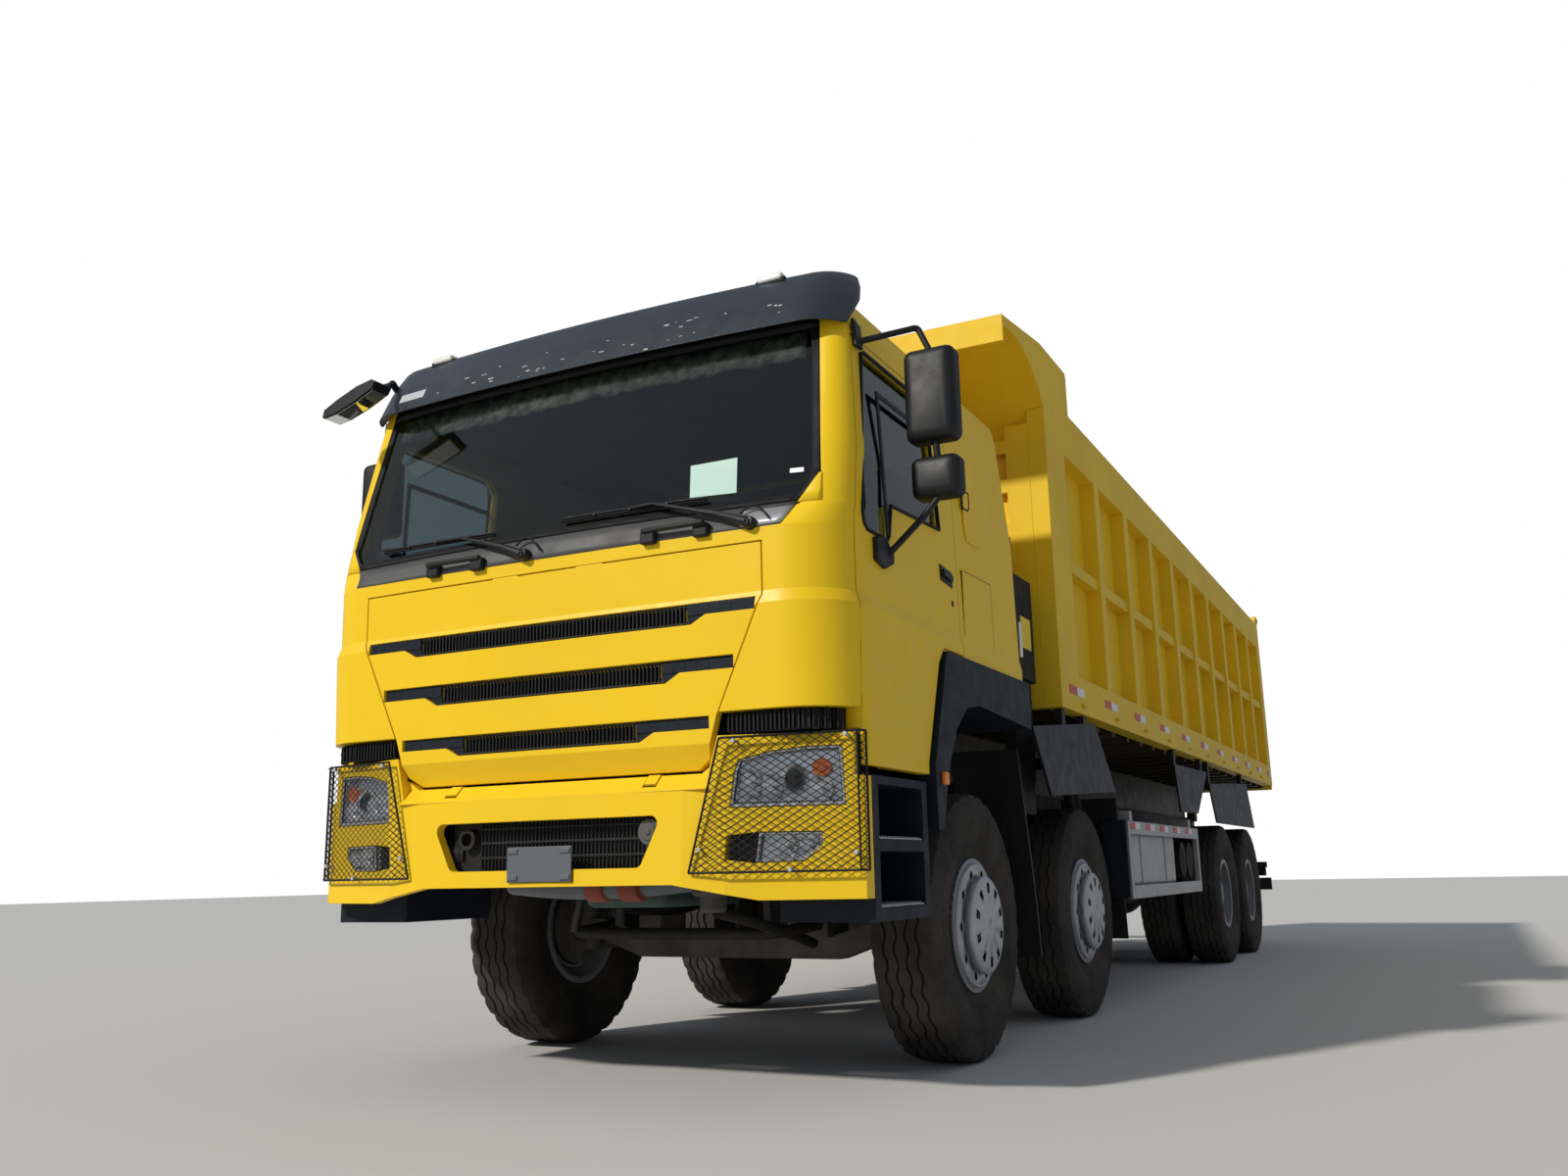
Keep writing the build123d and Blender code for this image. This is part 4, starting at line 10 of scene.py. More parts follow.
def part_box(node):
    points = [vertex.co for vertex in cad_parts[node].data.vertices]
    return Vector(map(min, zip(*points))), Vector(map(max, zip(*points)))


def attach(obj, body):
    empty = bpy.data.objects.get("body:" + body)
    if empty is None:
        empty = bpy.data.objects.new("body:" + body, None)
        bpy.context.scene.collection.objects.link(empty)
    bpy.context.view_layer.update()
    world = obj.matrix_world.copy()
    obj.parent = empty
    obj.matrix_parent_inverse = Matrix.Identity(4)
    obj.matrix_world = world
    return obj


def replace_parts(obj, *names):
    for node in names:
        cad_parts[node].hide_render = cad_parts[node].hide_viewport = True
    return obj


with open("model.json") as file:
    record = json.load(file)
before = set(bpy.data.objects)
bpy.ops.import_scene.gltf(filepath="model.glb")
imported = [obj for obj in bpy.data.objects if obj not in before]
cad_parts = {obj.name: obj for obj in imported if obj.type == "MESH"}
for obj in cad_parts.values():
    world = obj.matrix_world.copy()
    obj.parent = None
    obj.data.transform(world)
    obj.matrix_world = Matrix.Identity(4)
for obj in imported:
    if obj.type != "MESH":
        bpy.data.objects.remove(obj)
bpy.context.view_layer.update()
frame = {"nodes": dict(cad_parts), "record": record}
NODES = frame["nodes"]
RANDOM = random.Random(8)
SIDES = ((1, "left"), (-1, "right"))

# Metres in the row frame: X to the truck's left, Y rearwards, Z up.
AXLES_Y = (-3.945, -2.145, 2.105, 3.455)
CAB_Y = AXLES_Y[0]
WHEEL_Z = 0.55
FRONT_WHEEL_X = 1.011
TWIN_X = (0.745, 1.085)


# Materials

LOOKS = {}
DUST = (0.36, 0.31, 0.25, 1.0)
# painted shade: dark colour for the faces of the bed floor that don't look up
UNDERSIDE_SHADE = (0.050, 0.042, 0.022, 1.0)


def fill(tree, target, inputs):
    """Puts a value or a link in inputs of a shader node."""
    for key, value in inputs.items():
        if isinstance(value, bpy.types.NodeSocket):
            tree.links.new(value, target.inputs[key])
        else:
            target.inputs[key].default_value = value


def node(tree, kind, inputs, output=0, **settings):
    """Adds a shader node and gives one of its outputs."""
    made = tree.nodes.new("ShaderNode" + kind)
    for key, value in settings.items():
        setattr(made, key, value)
    fill(tree, made, inputs)
    return made.outputs[output]


def blend(tree, factor, below, above):
    """A mix of two colours, whose sockets are numbers 6 and 7."""
    return node(tree, "Mix", {0: factor, 6: below, 7: above}, 2, data_type="RGBA")


def look(name, colour, rough, metal=0.0, coat=0.0, dust=0.0, dust_top=1.0, blotch=0.06,
         blotch_scale=1.6, grain=0.15, grain_scale=160.0, wear=0.0, wear_colour=(0.5, 0.5, 0.5),
         bevel=0.004, clear=0.0, streaks=0.0, shine=0.5):
    """A painted, cast or moulded surface: cloudy colour, dust from below, streaks, worn edges."""
    material = bpy.data.materials.new(name)
    material.use_nodes = True
    tree = material.node_tree
    spot = node(tree, "TexCoord", {}, "Object")

    def noise(scale, detail=4.0, place=spot):
        return node(tree, "TexNoise", {"Vector": place, "Scale": scale, "Detail": detail}, "Fac")

    def ranged(value, low, high, to_low, to_high):
        return node(tree, "MapRange", {"Value": value, "From Min": low, "From Max": high,
                                       "To Min": to_low, "To Max": to_high})

    def times(first, second):
        return node(tree, "Math", {0: first, 1: second}, operation="MULTIPLY", use_clamp=True)

    clouds = ranged(noise(blotch_scale), 0.3, 0.7, 1.0 - blotch, 1.0 + blotch)
    paint = node(tree, "HueSaturation", {"Color": (*colour, 1.0), "Value": clouds})
    roughness = ranged(noise(blotch_scale * 7), 0.3, 0.7, rough * 0.85, min(1.0, rough * 1.2))
    rounded = node(tree, "Bevel", {"Radius": bevel}, samples=4)
    if wear:
        facing = node(tree, "NewGeometry", {}, "Normal")
        bend = node(tree, "VectorMath", {0: rounded, 1: facing}, "Value", operation="DOT_PRODUCT")
        rim = ranged(bend, 0.99, 0.80, 0.0, wear)
        chips = ranged(noise(38.0, 6.0), 0.5, 0.62, 0.0, 1.0)
        paint = blend(tree, times(rim, chips), paint, (*wear_colour, 1.0))
    if streaks:
        tall = node(tree, "Mapping", {"Vector": spot, "Scale": (4.0, 4.0, 0.35)})
        runs = ranged(noise(3.0, 5.0, tall), 0.5, 0.8, 0.0, streaks)
        paint = blend(tree, runs, paint, DUST)
    if dust:
        height = node(tree, "SeparateXYZ", {"Vector": spot}, "Z")
        low = ranged(height, 0.0, dust_top, dust, dust * 0.12)
        cover = times(low, ranged(noise(5.0, 8.0), 0.35, 0.7, 0.3, 1.0))
        paint = blend(tree, cover, paint, DUST)
        roughness = node(tree, "Math", {0: roughness, 1: cover}, operation="MAXIMUM")
    bump = node(tree, "Bump", {"Strength": grain, "Distance": 0.001, "Normal": rounded,
                               "Height": noise(grain_scale, 3.0)})
    fill(tree, tree.nodes["Principled BSDF"], {
        "Base Color": paint, "Roughness": roughness, "Normal": bump, "Metallic": metal,
        "Specular IOR Level": shine, "Coat Weight": coat, "Coat Roughness": 0.12,
        "Transmission Weight": clear})
    LOOKS[name] = material


look("yellow_paint", (0.90, 0.59, 0.010), 0.40, coat=0.05, shine=0.25, dust=0.05, dust_top=1.6,
     blotch=0.03, grain=0.04, wear=0.25, wear_colour=(0.95, 0.78, 0.2))
look("bed_paint", (0.84, 0.56, 0.014), 0.48, coat=0.02, shine=0.22, dust=0.10, dust_top=2.4,
     blotch=0.05, grain=0.08, wear=0.25, wear_colour=(0.8, 0.66, 0.25), streaks=0.07, bevel=0.006)
look("dark_trim", (0.009, 0.014, 0.022), 0.46, dust=0.03, dust_top=2.2, grain=0.10, wear=0.3,
     wear_colour=(0.3, 0.33, 0.36), shine=0.15)
look("black_plastic", (0.009, 0.010, 0.011), 0.46, dust=0.04, dust_top=1.4, grain=0.25,
     grain_scale=420.0, shine=0.3)
look("chassis_black", (0.010, 0.010, 0.010), 0.62, dust=0.10, dust_top=1.3, grain=0.35,
     grain_scale=90.0, wear=0.4, wear_colour=(0.16, 0.13, 0.1), shine=0.2)
look("cover_silver", (0.50, 0.52, 0.54), 0.40, metal=0.4, dust=0.16, grain=0.12, wear=0.3,
     wear_colour=(0.7, 0.7, 0.7), bevel=0.002)
look("rim_grey", (0.23, 0.245, 0.26), 0.42, metal=0.2, dust=0.28, dust_top=1.1, grain=0.12,
     wear=0.4, wear_colour=(0.55, 0.55, 0.55), bevel=0.003)
look("tyre_rubber", (0.014, 0.013, 0.012), 0.82, dust=0.15, dust_top=1.2, blotch=0.2,
     blotch_scale=9.0, grain=0.6, grain_scale=120.0, bevel=0.002, shine=0.25)
look("window_glass", (0.42, 0.50, 0.50), 0.03, clear=1.0, blotch=0.05, grain=0.0, bevel=0.001)
look("lamp_lens", (0.95, 0.97, 0.98), 0.05, clear=1.0, grain=0.4, grain_scale=60.0, bevel=0.001)
look("silver_metal", (0.42, 0.42, 0.41), 0.40, metal=0.70, dust=0.30, dust_top=1.1, wear=0.3,
     wear_colour=(0.8, 0.8, 0.8))
look("cast_grey", (0.055, 0.053, 0.050), 0.68, metal=0.3, dust=0.55, grain=0.8,
     grain_scale=220.0, blotch=0.2)
look("ram_steel", (0.55, 0.56, 0.57), 0.22, metal=1.0, grain=0.1)
look("seat_fabric", (0.030, 0.030, 0.034), 0.85, grain=0.8, grain_scale=900.0, blotch=0.15,
     bevel=0.02)
look("chrome", (0.92, 0.93, 0.94), 0.16, metal=0.75, grain=0.2, grain_scale=45.0)
look("orange_lens", (0.95, 0.26, 0.02), 0.12, grain=0.5, grain_scale=220.0)
look("red_lens", (0.62, 0.02, 0.015), 0.14, grain=0.5, grain_scale=220.0)
look("white_patch", (0.82, 0.82, 0.80), 0.32, dust=0.1, grain=0.2)
look("red_patch", (0.60, 0.03, 0.025), 0.32, dust=0.1, grain=0.2)
look("mirror_glass", (0.86, 0.88, 0.88), 0.02, metal=1.0, grain=0.0)
look("rubber_seal", (0.010, 0.010, 0.011), 0.66, grain=0.3, shine=0.25)
look("cowl_grey", (0.060, 0.062, 0.064), 0.58, dust=0.15, dust_top=3.0, grain=0.5,
     grain_scale=500.0)
look("step_grey", (0.46, 0.47, 0.48), 0.46, metal=0.4, dust=0.12, grain=0.3, wear=0.5,
     wear_colour=(0.6, 0.6, 0.6))
look("slate_plate", (0.105, 0.120, 0.135), 0.45, dust=0.15, grain=0.12)
look("pale_green", (0.55, 0.76, 0.66), 0.75, grain=0.1)
look("visor_blue", (0.013, 0.021, 0.034), 0.32, coat=0.2, dust=0.10, dust_top=3.4, grain=0.06,
     wear=0.3, wear_colour=(0.3, 0.33, 0.36))
look("chip_pale", (0.50, 0.53, 0.55), 0.6, grain=0.2)
look("trim_felt", (0.36, 0.33, 0.25), 0.95, blotch=0.6, blotch_scale=26.0, grain=1.0,
     grain_scale=240.0)
# darkened red: painted shade for the cooler sleeves under the bumper
look("hose_red", (0.24, 0.040, 0.015), 0.6, dust=0.2, grain=0.3)
look("dull_green", (0.022, 0.060, 0.052), 0.6, dust=0.2, grain=0.4)
look("yellow_label", (0.85, 0.62, 0.05), 0.5, grain=0.05)
look("cab_lining", (0.16, 0.155, 0.145), 0.85, grain=0.6, grain_scale=300.0)


# Shapes

def at(x, y, z):
    """A point given in millimetres, with y counted from the first axle."""
    return Vector((x / 1000.0, y / 1000.0 + CAB_Y, z / 1000.0))


def circle(count):
    """Cosine and sine of even steps round a circle."""
    turns = [math.tau * n / count for n in range(count)]
    return [(math.cos(turn), math.sin(turn)) for turn in turns]


def steps(start, end, count):
    """Start and end of each of some even steps."""
    marks = [start + (end - start) * n / count for n in range(count + 1)]
    return zip(marks, marks[1:])


def pairs(outline):
    """Each corner of a closed outline with the next one."""
    return zip(outline, [*outline[1:], outline[0]])


def meshes(count):
    """Empty meshes to build in."""
    return [bmesh.new() for _ in range(count)]


def bridge(mesh, rows, closed=False, open_cells=()):
    """Faces between neighbouring rows of vertices, but not in the open (row, column) cells."""
    count = len(rows[0])
    for k, (near, far) in enumerate(zip(rows, rows[1:])):
        for n in range(count if closed else count - 1):
            m = (n + 1) % count
            if (k, n) not in open_cells:
                mesh.faces.new((near[n], near[m], far[m], far[n]))


def box_in(mesh, low, high):
    """A block between two corners."""
    low, high = Vector(low), Vector(high)
    size = Vector([abs(length) for length in high - low])
    bmesh.ops.create_cube(mesh, size=1.0, matrix=Matrix.LocRotScale((low + high) / 2, None, size))


def block(mesh, xs, ys, zs, side=1):
    """A block from its ranges in millimetres, on the right where the side is -1."""
    box_in(mesh, at(side * xs[0], ys[0], zs[0]), at(side * xs[1], ys[1], zs[1]))


def prism_in(mesh, corners, shift):
    """A closed outline of 3-D corners carried along a vector."""
    near = [mesh.verts.new(Vector(c)) for c in corners]
    far = [mesh.verts.new(Vector(c) + Vector(shift)) for c in corners]
    mesh.faces.new(near)
    mesh.faces.new(far[::-1])
    bridge(mesh, (far, near), True)


def rod_in(mesh, start, end, radius, sides=16, tip_radius=None):
    """A round bar or cone between two points."""
    start, end = Vector(start), Vector(end)
    run = end - start
    turn = run.to_track_quat("Z", "Y").to_matrix().to_4x4()
    bmesh.ops.create_cone(
        mesh, cap_ends=True, segments=sides, radius1=radius, depth=run.length,
        radius2=radius if tip_radius is None else tip_radius,
        matrix=Matrix.Translation((start + end) / 2) @ turn)


def lathe_in(mesh, profile, y, z, sides):
    """A profile of (x, radius) turned about an axis along X."""
    turns = circle(sides)
    bridge(mesh, [[mesh.verts.new((x, y + r * c, z + r * s)) for c, s in turns]
                  for x, r in profile], True)


def linked(name, data):
    """A new object in the scene."""
    made = bpy.data.objects.new(name, data)
    bpy.context.scene.collection.objects.link(made)
    return made


def baked(name, mesh):
    """The data of a built mesh, its faces looking out."""
    bmesh.ops.recalc_face_normals(mesh, faces=mesh.faces)
    data = bpy.data.meshes.new(name)
    mesh.to_mesh(data)
    mesh.free()
    return data


def place(name, data, look_name, body, slot=None, smooth=30.0, bevel=0.0, spot=(0, 0, 0)):
    """Links an object, shades it and fixes it to its body."""
    piece = linked(name, data)
    piece.matrix_world = Matrix.Translation(spot)
    data.materials.clear()
    data.materials.append(LOOKS[look_name])
    data.shade_smooth()
    data.set_sharp_from_angle(angle=math.radians(smooth))
    if bevel:
        modifier = piece.modifiers.new("edges", "BEVEL")
        modifier.width = bevel
        modifier.segments = 2
        modifier.limit_method = "ANGLE"
    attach(piece, body)
    return piece


def finish(name, mesh, look_name, body, slot=None, smooth=30.0, bevel=0.0):
    """Makes a piece of a built mesh, with its material and body; its slot is not used."""
    return place(name, baked(name, mesh), look_name, body, slot, smooth, bevel)


def boxes(name, look_name, body, *corners, bevel=0.0):
    """Makes a piece of blocks, each given by two corners."""
    mesh = bmesh.new()
    for low, high in corners:
        box_in(mesh, low, high)
    return finish(name, mesh, look_name, body, bevel=bevel)


def thicken(piece, thickness, offset=-1.0):
    """Gives a piece made of a sheet its thickness."""
    solid = piece.modifiers.new("thickness", "SOLIDIFY")
    solid.thickness = thickness
    solid.offset = offset


def pipe(name, points, radius, look_name, body, kind="NURBS"):
    """A round pipe along a few points, curved between them unless its kind is POLY."""
    curve = bpy.data.curves.new(name, "CURVE")
    curve.dimensions = "3D"
    curve.bevel_depth = radius
    curve.bevel_resolution = 4
    curve.resolution_u = 10
    curve.use_fill_caps = True
    line = curve.splines.new(kind)
    line.points.add(len(points) - 1)
    for point, spot in zip(line.points, points):
        point.co = (*spot, 1.0)
    line.order_u = 3
    line.use_endpoint_u = True
    curve.materials.append(LOOKS[look_name])
    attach(linked(name, curve), body)


# Wheels

TREAD_STEPS = 120
TREAD_RADIUS, TREAD_FLOOR = 0.5495, 0.5355
# (x, radius) from the bead to the shoulder
SIDEWALL = ((0.1065, 0.262), (0.1080, 0.281), (0.118, 0.310), (0.1325, 0.355), (0.1460, 0.395),
            (0.1490, 0.425), (0.1455, 0.480), (0.1435, 0.503), (0.1365, 0.520), (0.1265, 0.542))
# middle, half width, zigzag
GROOVES = ((-0.070, 0.006, 0.006), (-0.024, 0.005, 0.006), (0.024, 0.005, -0.006),
           (0.070, 0.006, -0.006))
# radius, distance from the middle of the truck
COVER_PROFILE = ((0.002, 1.1995), (0.045, 1.1990), (0.050, 1.1975), (0.130, 1.1965),
                 (0.172, 1.1945), (0.190, 1.1900), (0.199, 1.1830), (0.201, 1.1740),
                 (0.190, 1.1440))
# degrees of the cover's columns in each tenth of a turn, a slot between the first three
COVER_COLUMNS = (11.5, 18, 24.5, 30, 36, 42)
SLOT_CELLS = {(3, 6 * n + k) for n in range(10) for k in (0, 1)}
DISH_X = 1.146
HOLE_CIRCLE = 0.2135


def tyre_data():
    """Tyre with zigzag grooves and notched shoulders, centred on the origin."""
    mesh = bmesh.new()
    rows = []
    for n, (c, s) in enumerate(circle(TREAD_STEPS)):
        swing = 1.0 if n % 4 < 2 else -1.0
        notch = 0.012 if n % 4 == 0 else 0.0
        wall = [(x, r - (notch if r > 0.50 else 0.0)) for x, r in SIDEWALL]
        wall.append((0.110, 0.548 - notch))
        row = [(-x, r) for x, r in wall]
        for middle, half, zigzag in GROOVES:
            x = middle + zigzag * swing
            row += [(x - half, TREAD_RADIUS), (x - half * 0.6, TREAD_FLOOR),
                    (x + half * 0.6, TREAD_FLOOR), (x + half, TREAD_RADIUS)]
        row += wall[::-1]
        rows.append([mesh.verts.new((x, r * c, r * s)) for x, r in row])
    bridge(mesh, rows + rows[:1], True)
    # raised rings on the sidewalls
    for sign in (-1, 1):
        for radius, reach in ((0.335, 0.1275), (0.465, 0.1475)):
            foot = sign * (reach - 0.008)
            lathe_in(mesh, [(foot, radius - 0.006), (sign * reach, radius), (foot, radius + 0.006)],
                     0, 0, 96)
    return baked("tyre", mesh)


def rim_copy(wheel, y):
    """The metal of a wheel node, without its tyres."""
    mesh = bmesh.new()
    mesh.from_mesh(NODES[wheel].data)
    bmesh.ops.remove_doubles(mesh, verts=mesh.verts, dist=0.00002)
    unseen = set(mesh.verts)
    while unseen:
        island, edge = set(), {unseen.pop()}
        while edge:
            island |= edge
            edge = {other for vertex in edge for link in vertex.link_edges
                    for other in link.verts} - island
        unseen -= island
        if max(math.hypot(v.co.y - y, v.co.z - WHEEL_Z) for v in island) > 0.45:
            bmesh.ops.delete(mesh, geom=list(island), context="VERTS")
    return mesh


def nuts_in(mesh, side, y, x, ring, count, radius, length):
    """A ring of wheel nuts with their studs."""
    for c, s in circle(count):
        foot = Vector((side * x, y + ring * c, WHEEL_Z + ring * s))
        rod_in(mesh, foot, foot + Vector((side * length, 0, 0)), radius, 6)
        rod_in(mesh, foot, foot + Vector((side * length * 1.5, 0, 0)), radius * 0.55, 8)


def ring_of(mesh, x, y, z, radius, sides):
    """Edges of a circle across the X axis."""
    spots = [mesh.verts.new((x, y + radius * c, z + radius * s)) for c, s in circle(sides)]
    return [mesh.edges.new(ends) for ends in pairs(spots)]


def wheel_cover(wheel, side, y):
    """Slotted cover over a front wheel's hub and the holed dish round it, with dark rings behind both
    as painted shade in the slots and holes.
    """
    cover, dish, dark = meshes(3)
    turns = [math.radians(36 * n + column) for n in range(10) for column in COVER_COLUMNS]
    rows = [[cover.verts.new((side * x, y + r * math.cos(a), WHEEL_Z + r * math.sin(a)))
             for a in turns] for r, x in COVER_PROFILE]
    bridge(cover, rows, True, SLOT_CELLS)
    thicken(finish(f"{wheel}_cover", cover, "cover_silver", wheel, smooth=24.0), 0.0025)
    edges = ring_of(dish, side * DISH_X, y, WHEEL_Z, 0.243, 80)
    edges += ring_of(dish, side * DISH_X, y, WHEEL_Z, 0.186, 60)
    for c, s in circle(10):
        edges += ring_of(dish, side * DISH_X, y + HOLE_CIRCLE * c, WHEEL_Z + HOLE_CIRCLE * s,
                         0.0185, 16)
    bmesh.ops.triangle_fill(dish, use_beauty=True, edges=edges)
    lip = [(side * DISH_X, 0.243), (side * 1.143, 0.250), (side * 1.124, 0.259)]
    lathe_in(dish, lip, y, WHEEL_Z, 80)
    thicken(finish(f"{wheel}_dish", dish, "cover_silver", wheel, smooth=24.0), 0.003)
    # painted shade: dark rings behind the cover's slots and the dish's holes stand in for the shade
    # inside the wheel
    lathe_in(dark, [(side * 1.191, 0.001), (side * 1.188, 0.180)], y, WHEEL_Z, 40)
    lathe_in(dark, [(side * 1.134, 0.188), (side * 1.134, 0.240)], y, WHEEL_Z, 40)
    finish(f"{wheel}_dark", dark, "rubber_seal", wheel)


def wheels():
    """Detailed tyres on the metal of every wheel."""
    tyre = tyre_data()
    for number, y in enumerate(AXLES_Y, 1):
        front = number < 3
        for side, word in SIDES:
            wheel = f"wheel_{number}_{word}"
            mesh = rim_copy(wheel, y)
            if front:
                wheel_cover(wheel, side, y)
            else:
                nuts_in(mesh, side, y, 0.954, 0.134, 10, 0.017, 0.030)
                nuts_in(mesh, side, y, 1.160, 0.085, 8, 0.009, 0.010)
            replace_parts(finish(f"{wheel}_rim", mesh, "rim_grey", wheel), wheel)
            for k, x in enumerate((FRONT_WHEEL_X,) if front else TWIN_X):
                piece = place(f"{wheel}_tyre_{k + 1}", tyre.copy(), "tyre_rubber", wheel,
                              "tyre_rubber", 35.0, spot=(side * x, y, WHEEL_Z))
                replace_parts(piece, wheel)


# Lamps and bumper: outlines of (x, z) in millimetres on a pod's face

POD_CORNER = 757.0
SHELL_OUTLINE = ((772, 795), (772, 1221), (1184, 1221), (1184, 795))
HEAD_OUTLINE = ((779, 1003), (795, 1119), (809, 1162), (921, 1189), (1040, 1201), (1155, 1201),
                (1163, 1003))
FOG_OUTLINE = ((862, 817), (875, 915), (1084, 913), (1083, 871), (1021, 820))
GRID_OUTLINE = ((760, 829), (769, 905), (872, 915), (859, 817))
# x, z, radius, height share
REFLECTORS = ((846, 1080, 40, 1.25), (914, 1070, 44, 1.0), (987, 1094, 48, 1.1),
              (1078, 1056, 46, 0.9), (960, 866, 40, 0.95), (1036, 868, 38, 0.9))
GUARD_CORNERS = ((757, 1239), (1219, 1249), (1219, 784), (633, 784))
GUARD_BACK = -0.030
GUARD_SIDE_X = 1.236
WIRE_RADIUS, FRAME_RADIUS = 0.0017, 0.0042


def pod_point(side, x, z, back=0.0):
    """A point behind the sloping face of a lamp pod, from millimetre x and z."""
    slope = (max(POD_CORNER, abs(x)) - POD_CORNER) * 140.0 / 468.0
    return at(side * x, slope - 1475.0, z) + Vector((0, back, 0))


def pod_panel(mesh, side, outline, back, deep):
    """A flat piece in the pod with a millimetre outline."""
    prism_in(mesh, [pod_point(side, x, z, back) for x, z in outline], (0, deep, 0))


def pod_bar(mesh, side, xs, zs, back, deep=0.016):
    """An upright or level bar in the pod."""
    pod_panel(mesh, side, [(xs[0], zs[0]), (xs[0], zs[1]), (xs[1], zs[1]), (xs[1], zs[0])],
              back, deep)


def inset(outline, width):
    """An outline moved in towards its middle by about a width."""
    middles, shares = [], []
    for values in zip(*outline):
        middles.append(sum(values) / len(values))
        shares.append(1 - 2 * width / (max(values) - min(values)))
    return [tuple(m + (v - m) * share for v, m, share in zip(corner, middles, shares))
            for corner in outline]


def pod_ring(mesh, side, outline, width, back, deep):
    """A frame that follows an outline in the pod."""
    for (a, b), (c, d) in zip(pairs(outline), pairs(inset(outline, width))):
        pod_panel(mesh, side, (a, b, d, c), back, deep)


def pod_wire(mesh, side, start, end, radius, sides, back):
    """A wire along the pod that bends where its face does."""
    (x0, z0), (x1, z1) = start, end
    knots = [start, end]
    if min(x0, x1) < POD_CORNER < max(x0, x1):
        knots.insert(1, (POD_CORNER, z0 + (z1 - z0) * (POD_CORNER - x0) / (x1 - x0)))
    for near, far in zip(knots, knots[1:]):
        rod_in(mesh, pod_point(side, *near, back), pod_point(side, *far, back), radius, sides)


def clipped(outline, start, slope):
    """Ends of the line z = start + slope * x inside a convex outline, or None."""
    ends = []
    for (x0, z0), (x1, z1) in pairs(outline):
        gap0, gap1 = z0 - start - slope * x0, z1 - start - slope * x1
        if gap0 * gap1 < 0:
            t = gap0 / (gap0 - gap1)
            ends.append((x0 + (x1 - x0) * t, z0 + (z1 - z0) * t))
    return sorted(ends) if len(ends) == 2 else None


def lattice_in(mesh, side, outline, wide, tall, radius, back):
    """Crossed wires with diamonds of a width and height, clipped to an outline in the pod."""
    rise = tall / wide
    reach = rise * 1250
    low = min(z for _, z in outline) - reach
    for slope in (rise, -rise):
        for n in range(int((2 * reach + 700) / tall)):
            ends = clipped(outline, low + n * tall + (0 if slope > 0 else reach), slope)
            if ends and ends[1][0] - ends[0][0] >= 6:
                pod_wire(mesh, side, *ends, radius, 5, back)


def bowl_in(mesh, centre, radius, deep, tall=1.0):
    """A round or oval reflector, open to the front, about an axis that runs back."""
    middle = mesh.verts.new(centre + Vector((0, deep, 0)))
    rows = []
    for share in [k / 6 for k in range(1, 7)]:
        r, y = radius * share, centre.y + deep * (1 - share ** 2)
        rows.append([mesh.verts.new((centre.x + r * c, y, centre.z + tall * r * s))
                     for c, s in circle(28)])
    for ends in pairs(rows[0]):
        mesh.faces.new((middle, *ends))
    bridge(mesh, rows, True)


def front_lamps():
    """Reflectors, bulbs, lenses and fog grids in the pods' openings."""
    shells, bowls, bezels, lenses, amber, grids, dark = meshes(7)
    for side in (1, -1):
        pod_panel(shells, side, SHELL_OUTLINE, 0.0432, 0.024)
        pod_panel(bowls, side, HEAD_OUTLINE, 0.039, 0.004)
        pod_panel(bowls, side, FOG_OUTLINE, 0.039, 0.004)
        pod_panel(shells, side, GRID_OUTLINE, 0.030, 0.012)
        pod_ring(bezels, side, HEAD_OUTLINE, 9, 0.003, 0.014)
        pod_ring(bezels, side, FOG_OUTLINE, 6, 0.004, 0.012)
        pod_ring(bowls, side, inset(HEAD_OUTLINE, 2), 3, 0.012, 0.030)
        pod_ring(dark, side, inset(HEAD_OUTLINE, 9), 3, 0.007, 0.006)
        for x, z, radius, tall in REFLECTORS:
            bowl_in(bowls, pod_point(side, x, z, 0.016), radius / 1000.0, 0.024, tall)
            rod_in(bezels, pod_point(side, x, z, 0.036), pod_point(side, x, z, 0.020), 0.009, 12,
                   0.005)
        flat = Matrix.Diagonal((1.0, 0.35, 1.0, 1.0))
        bmesh.ops.create_uvsphere(
            dark, u_segments=24, v_segments=12, radius=0.033,
            matrix=Matrix.Translation(pod_point(side, 987, 1094, 0.020)) @ flat)
        bowl_in(amber, pod_point(side, 1080, 1131, 0.014), 0.036, 0.020, 0.85)
        rod_in(amber, pod_point(side, 1080, 1131, 0.028), pod_point(side, 1080, 1131, 0.012), 0.015,
               16, 0.010)
        for n in range(7):
            z = 1024 + n * 24
            pod_bar(bowls, side, (1122, 1156), (z, z + 15), 0.020)
        for n in range(5):
            x, z = 800 + n * 64, 1013 + 5 * (n % 2)
            pod_bar(bowls, side, (x, x + 58), (z, z + 9), 0.018)
        pod_panel(lenses, side, inset(HEAD_OUTLINE, 6), 0.004, 0.003)
        pod_panel(lenses, side, inset(FOG_OUTLINE, 4), 0.006, 0.003)
        lattice_in(grids, side, inset(GRID_OUTLINE, 1), 34.0, 24.0, 0.0026, 0.010)
    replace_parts(finish("lamp_shells", shells, "black_plastic", "chassis"), "lamps")
    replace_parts(finish("lamp_reflectors", bowls, "chrome", "chassis"), "lamps")
    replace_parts(finish("lamp_lenses", lenses, "lamp_lens", "chassis", "lamp_lens"), "lamps")
    finish("lamp_bezels", bezels, "step_grey", "chassis")
    finish("lamp_seals", dark, "rubber_seal", "chassis")
    finish("turn_lamps", amber, "orange_lens", "chassis")
    finish("fog_grids", grids, "black_plastic", "chassis")


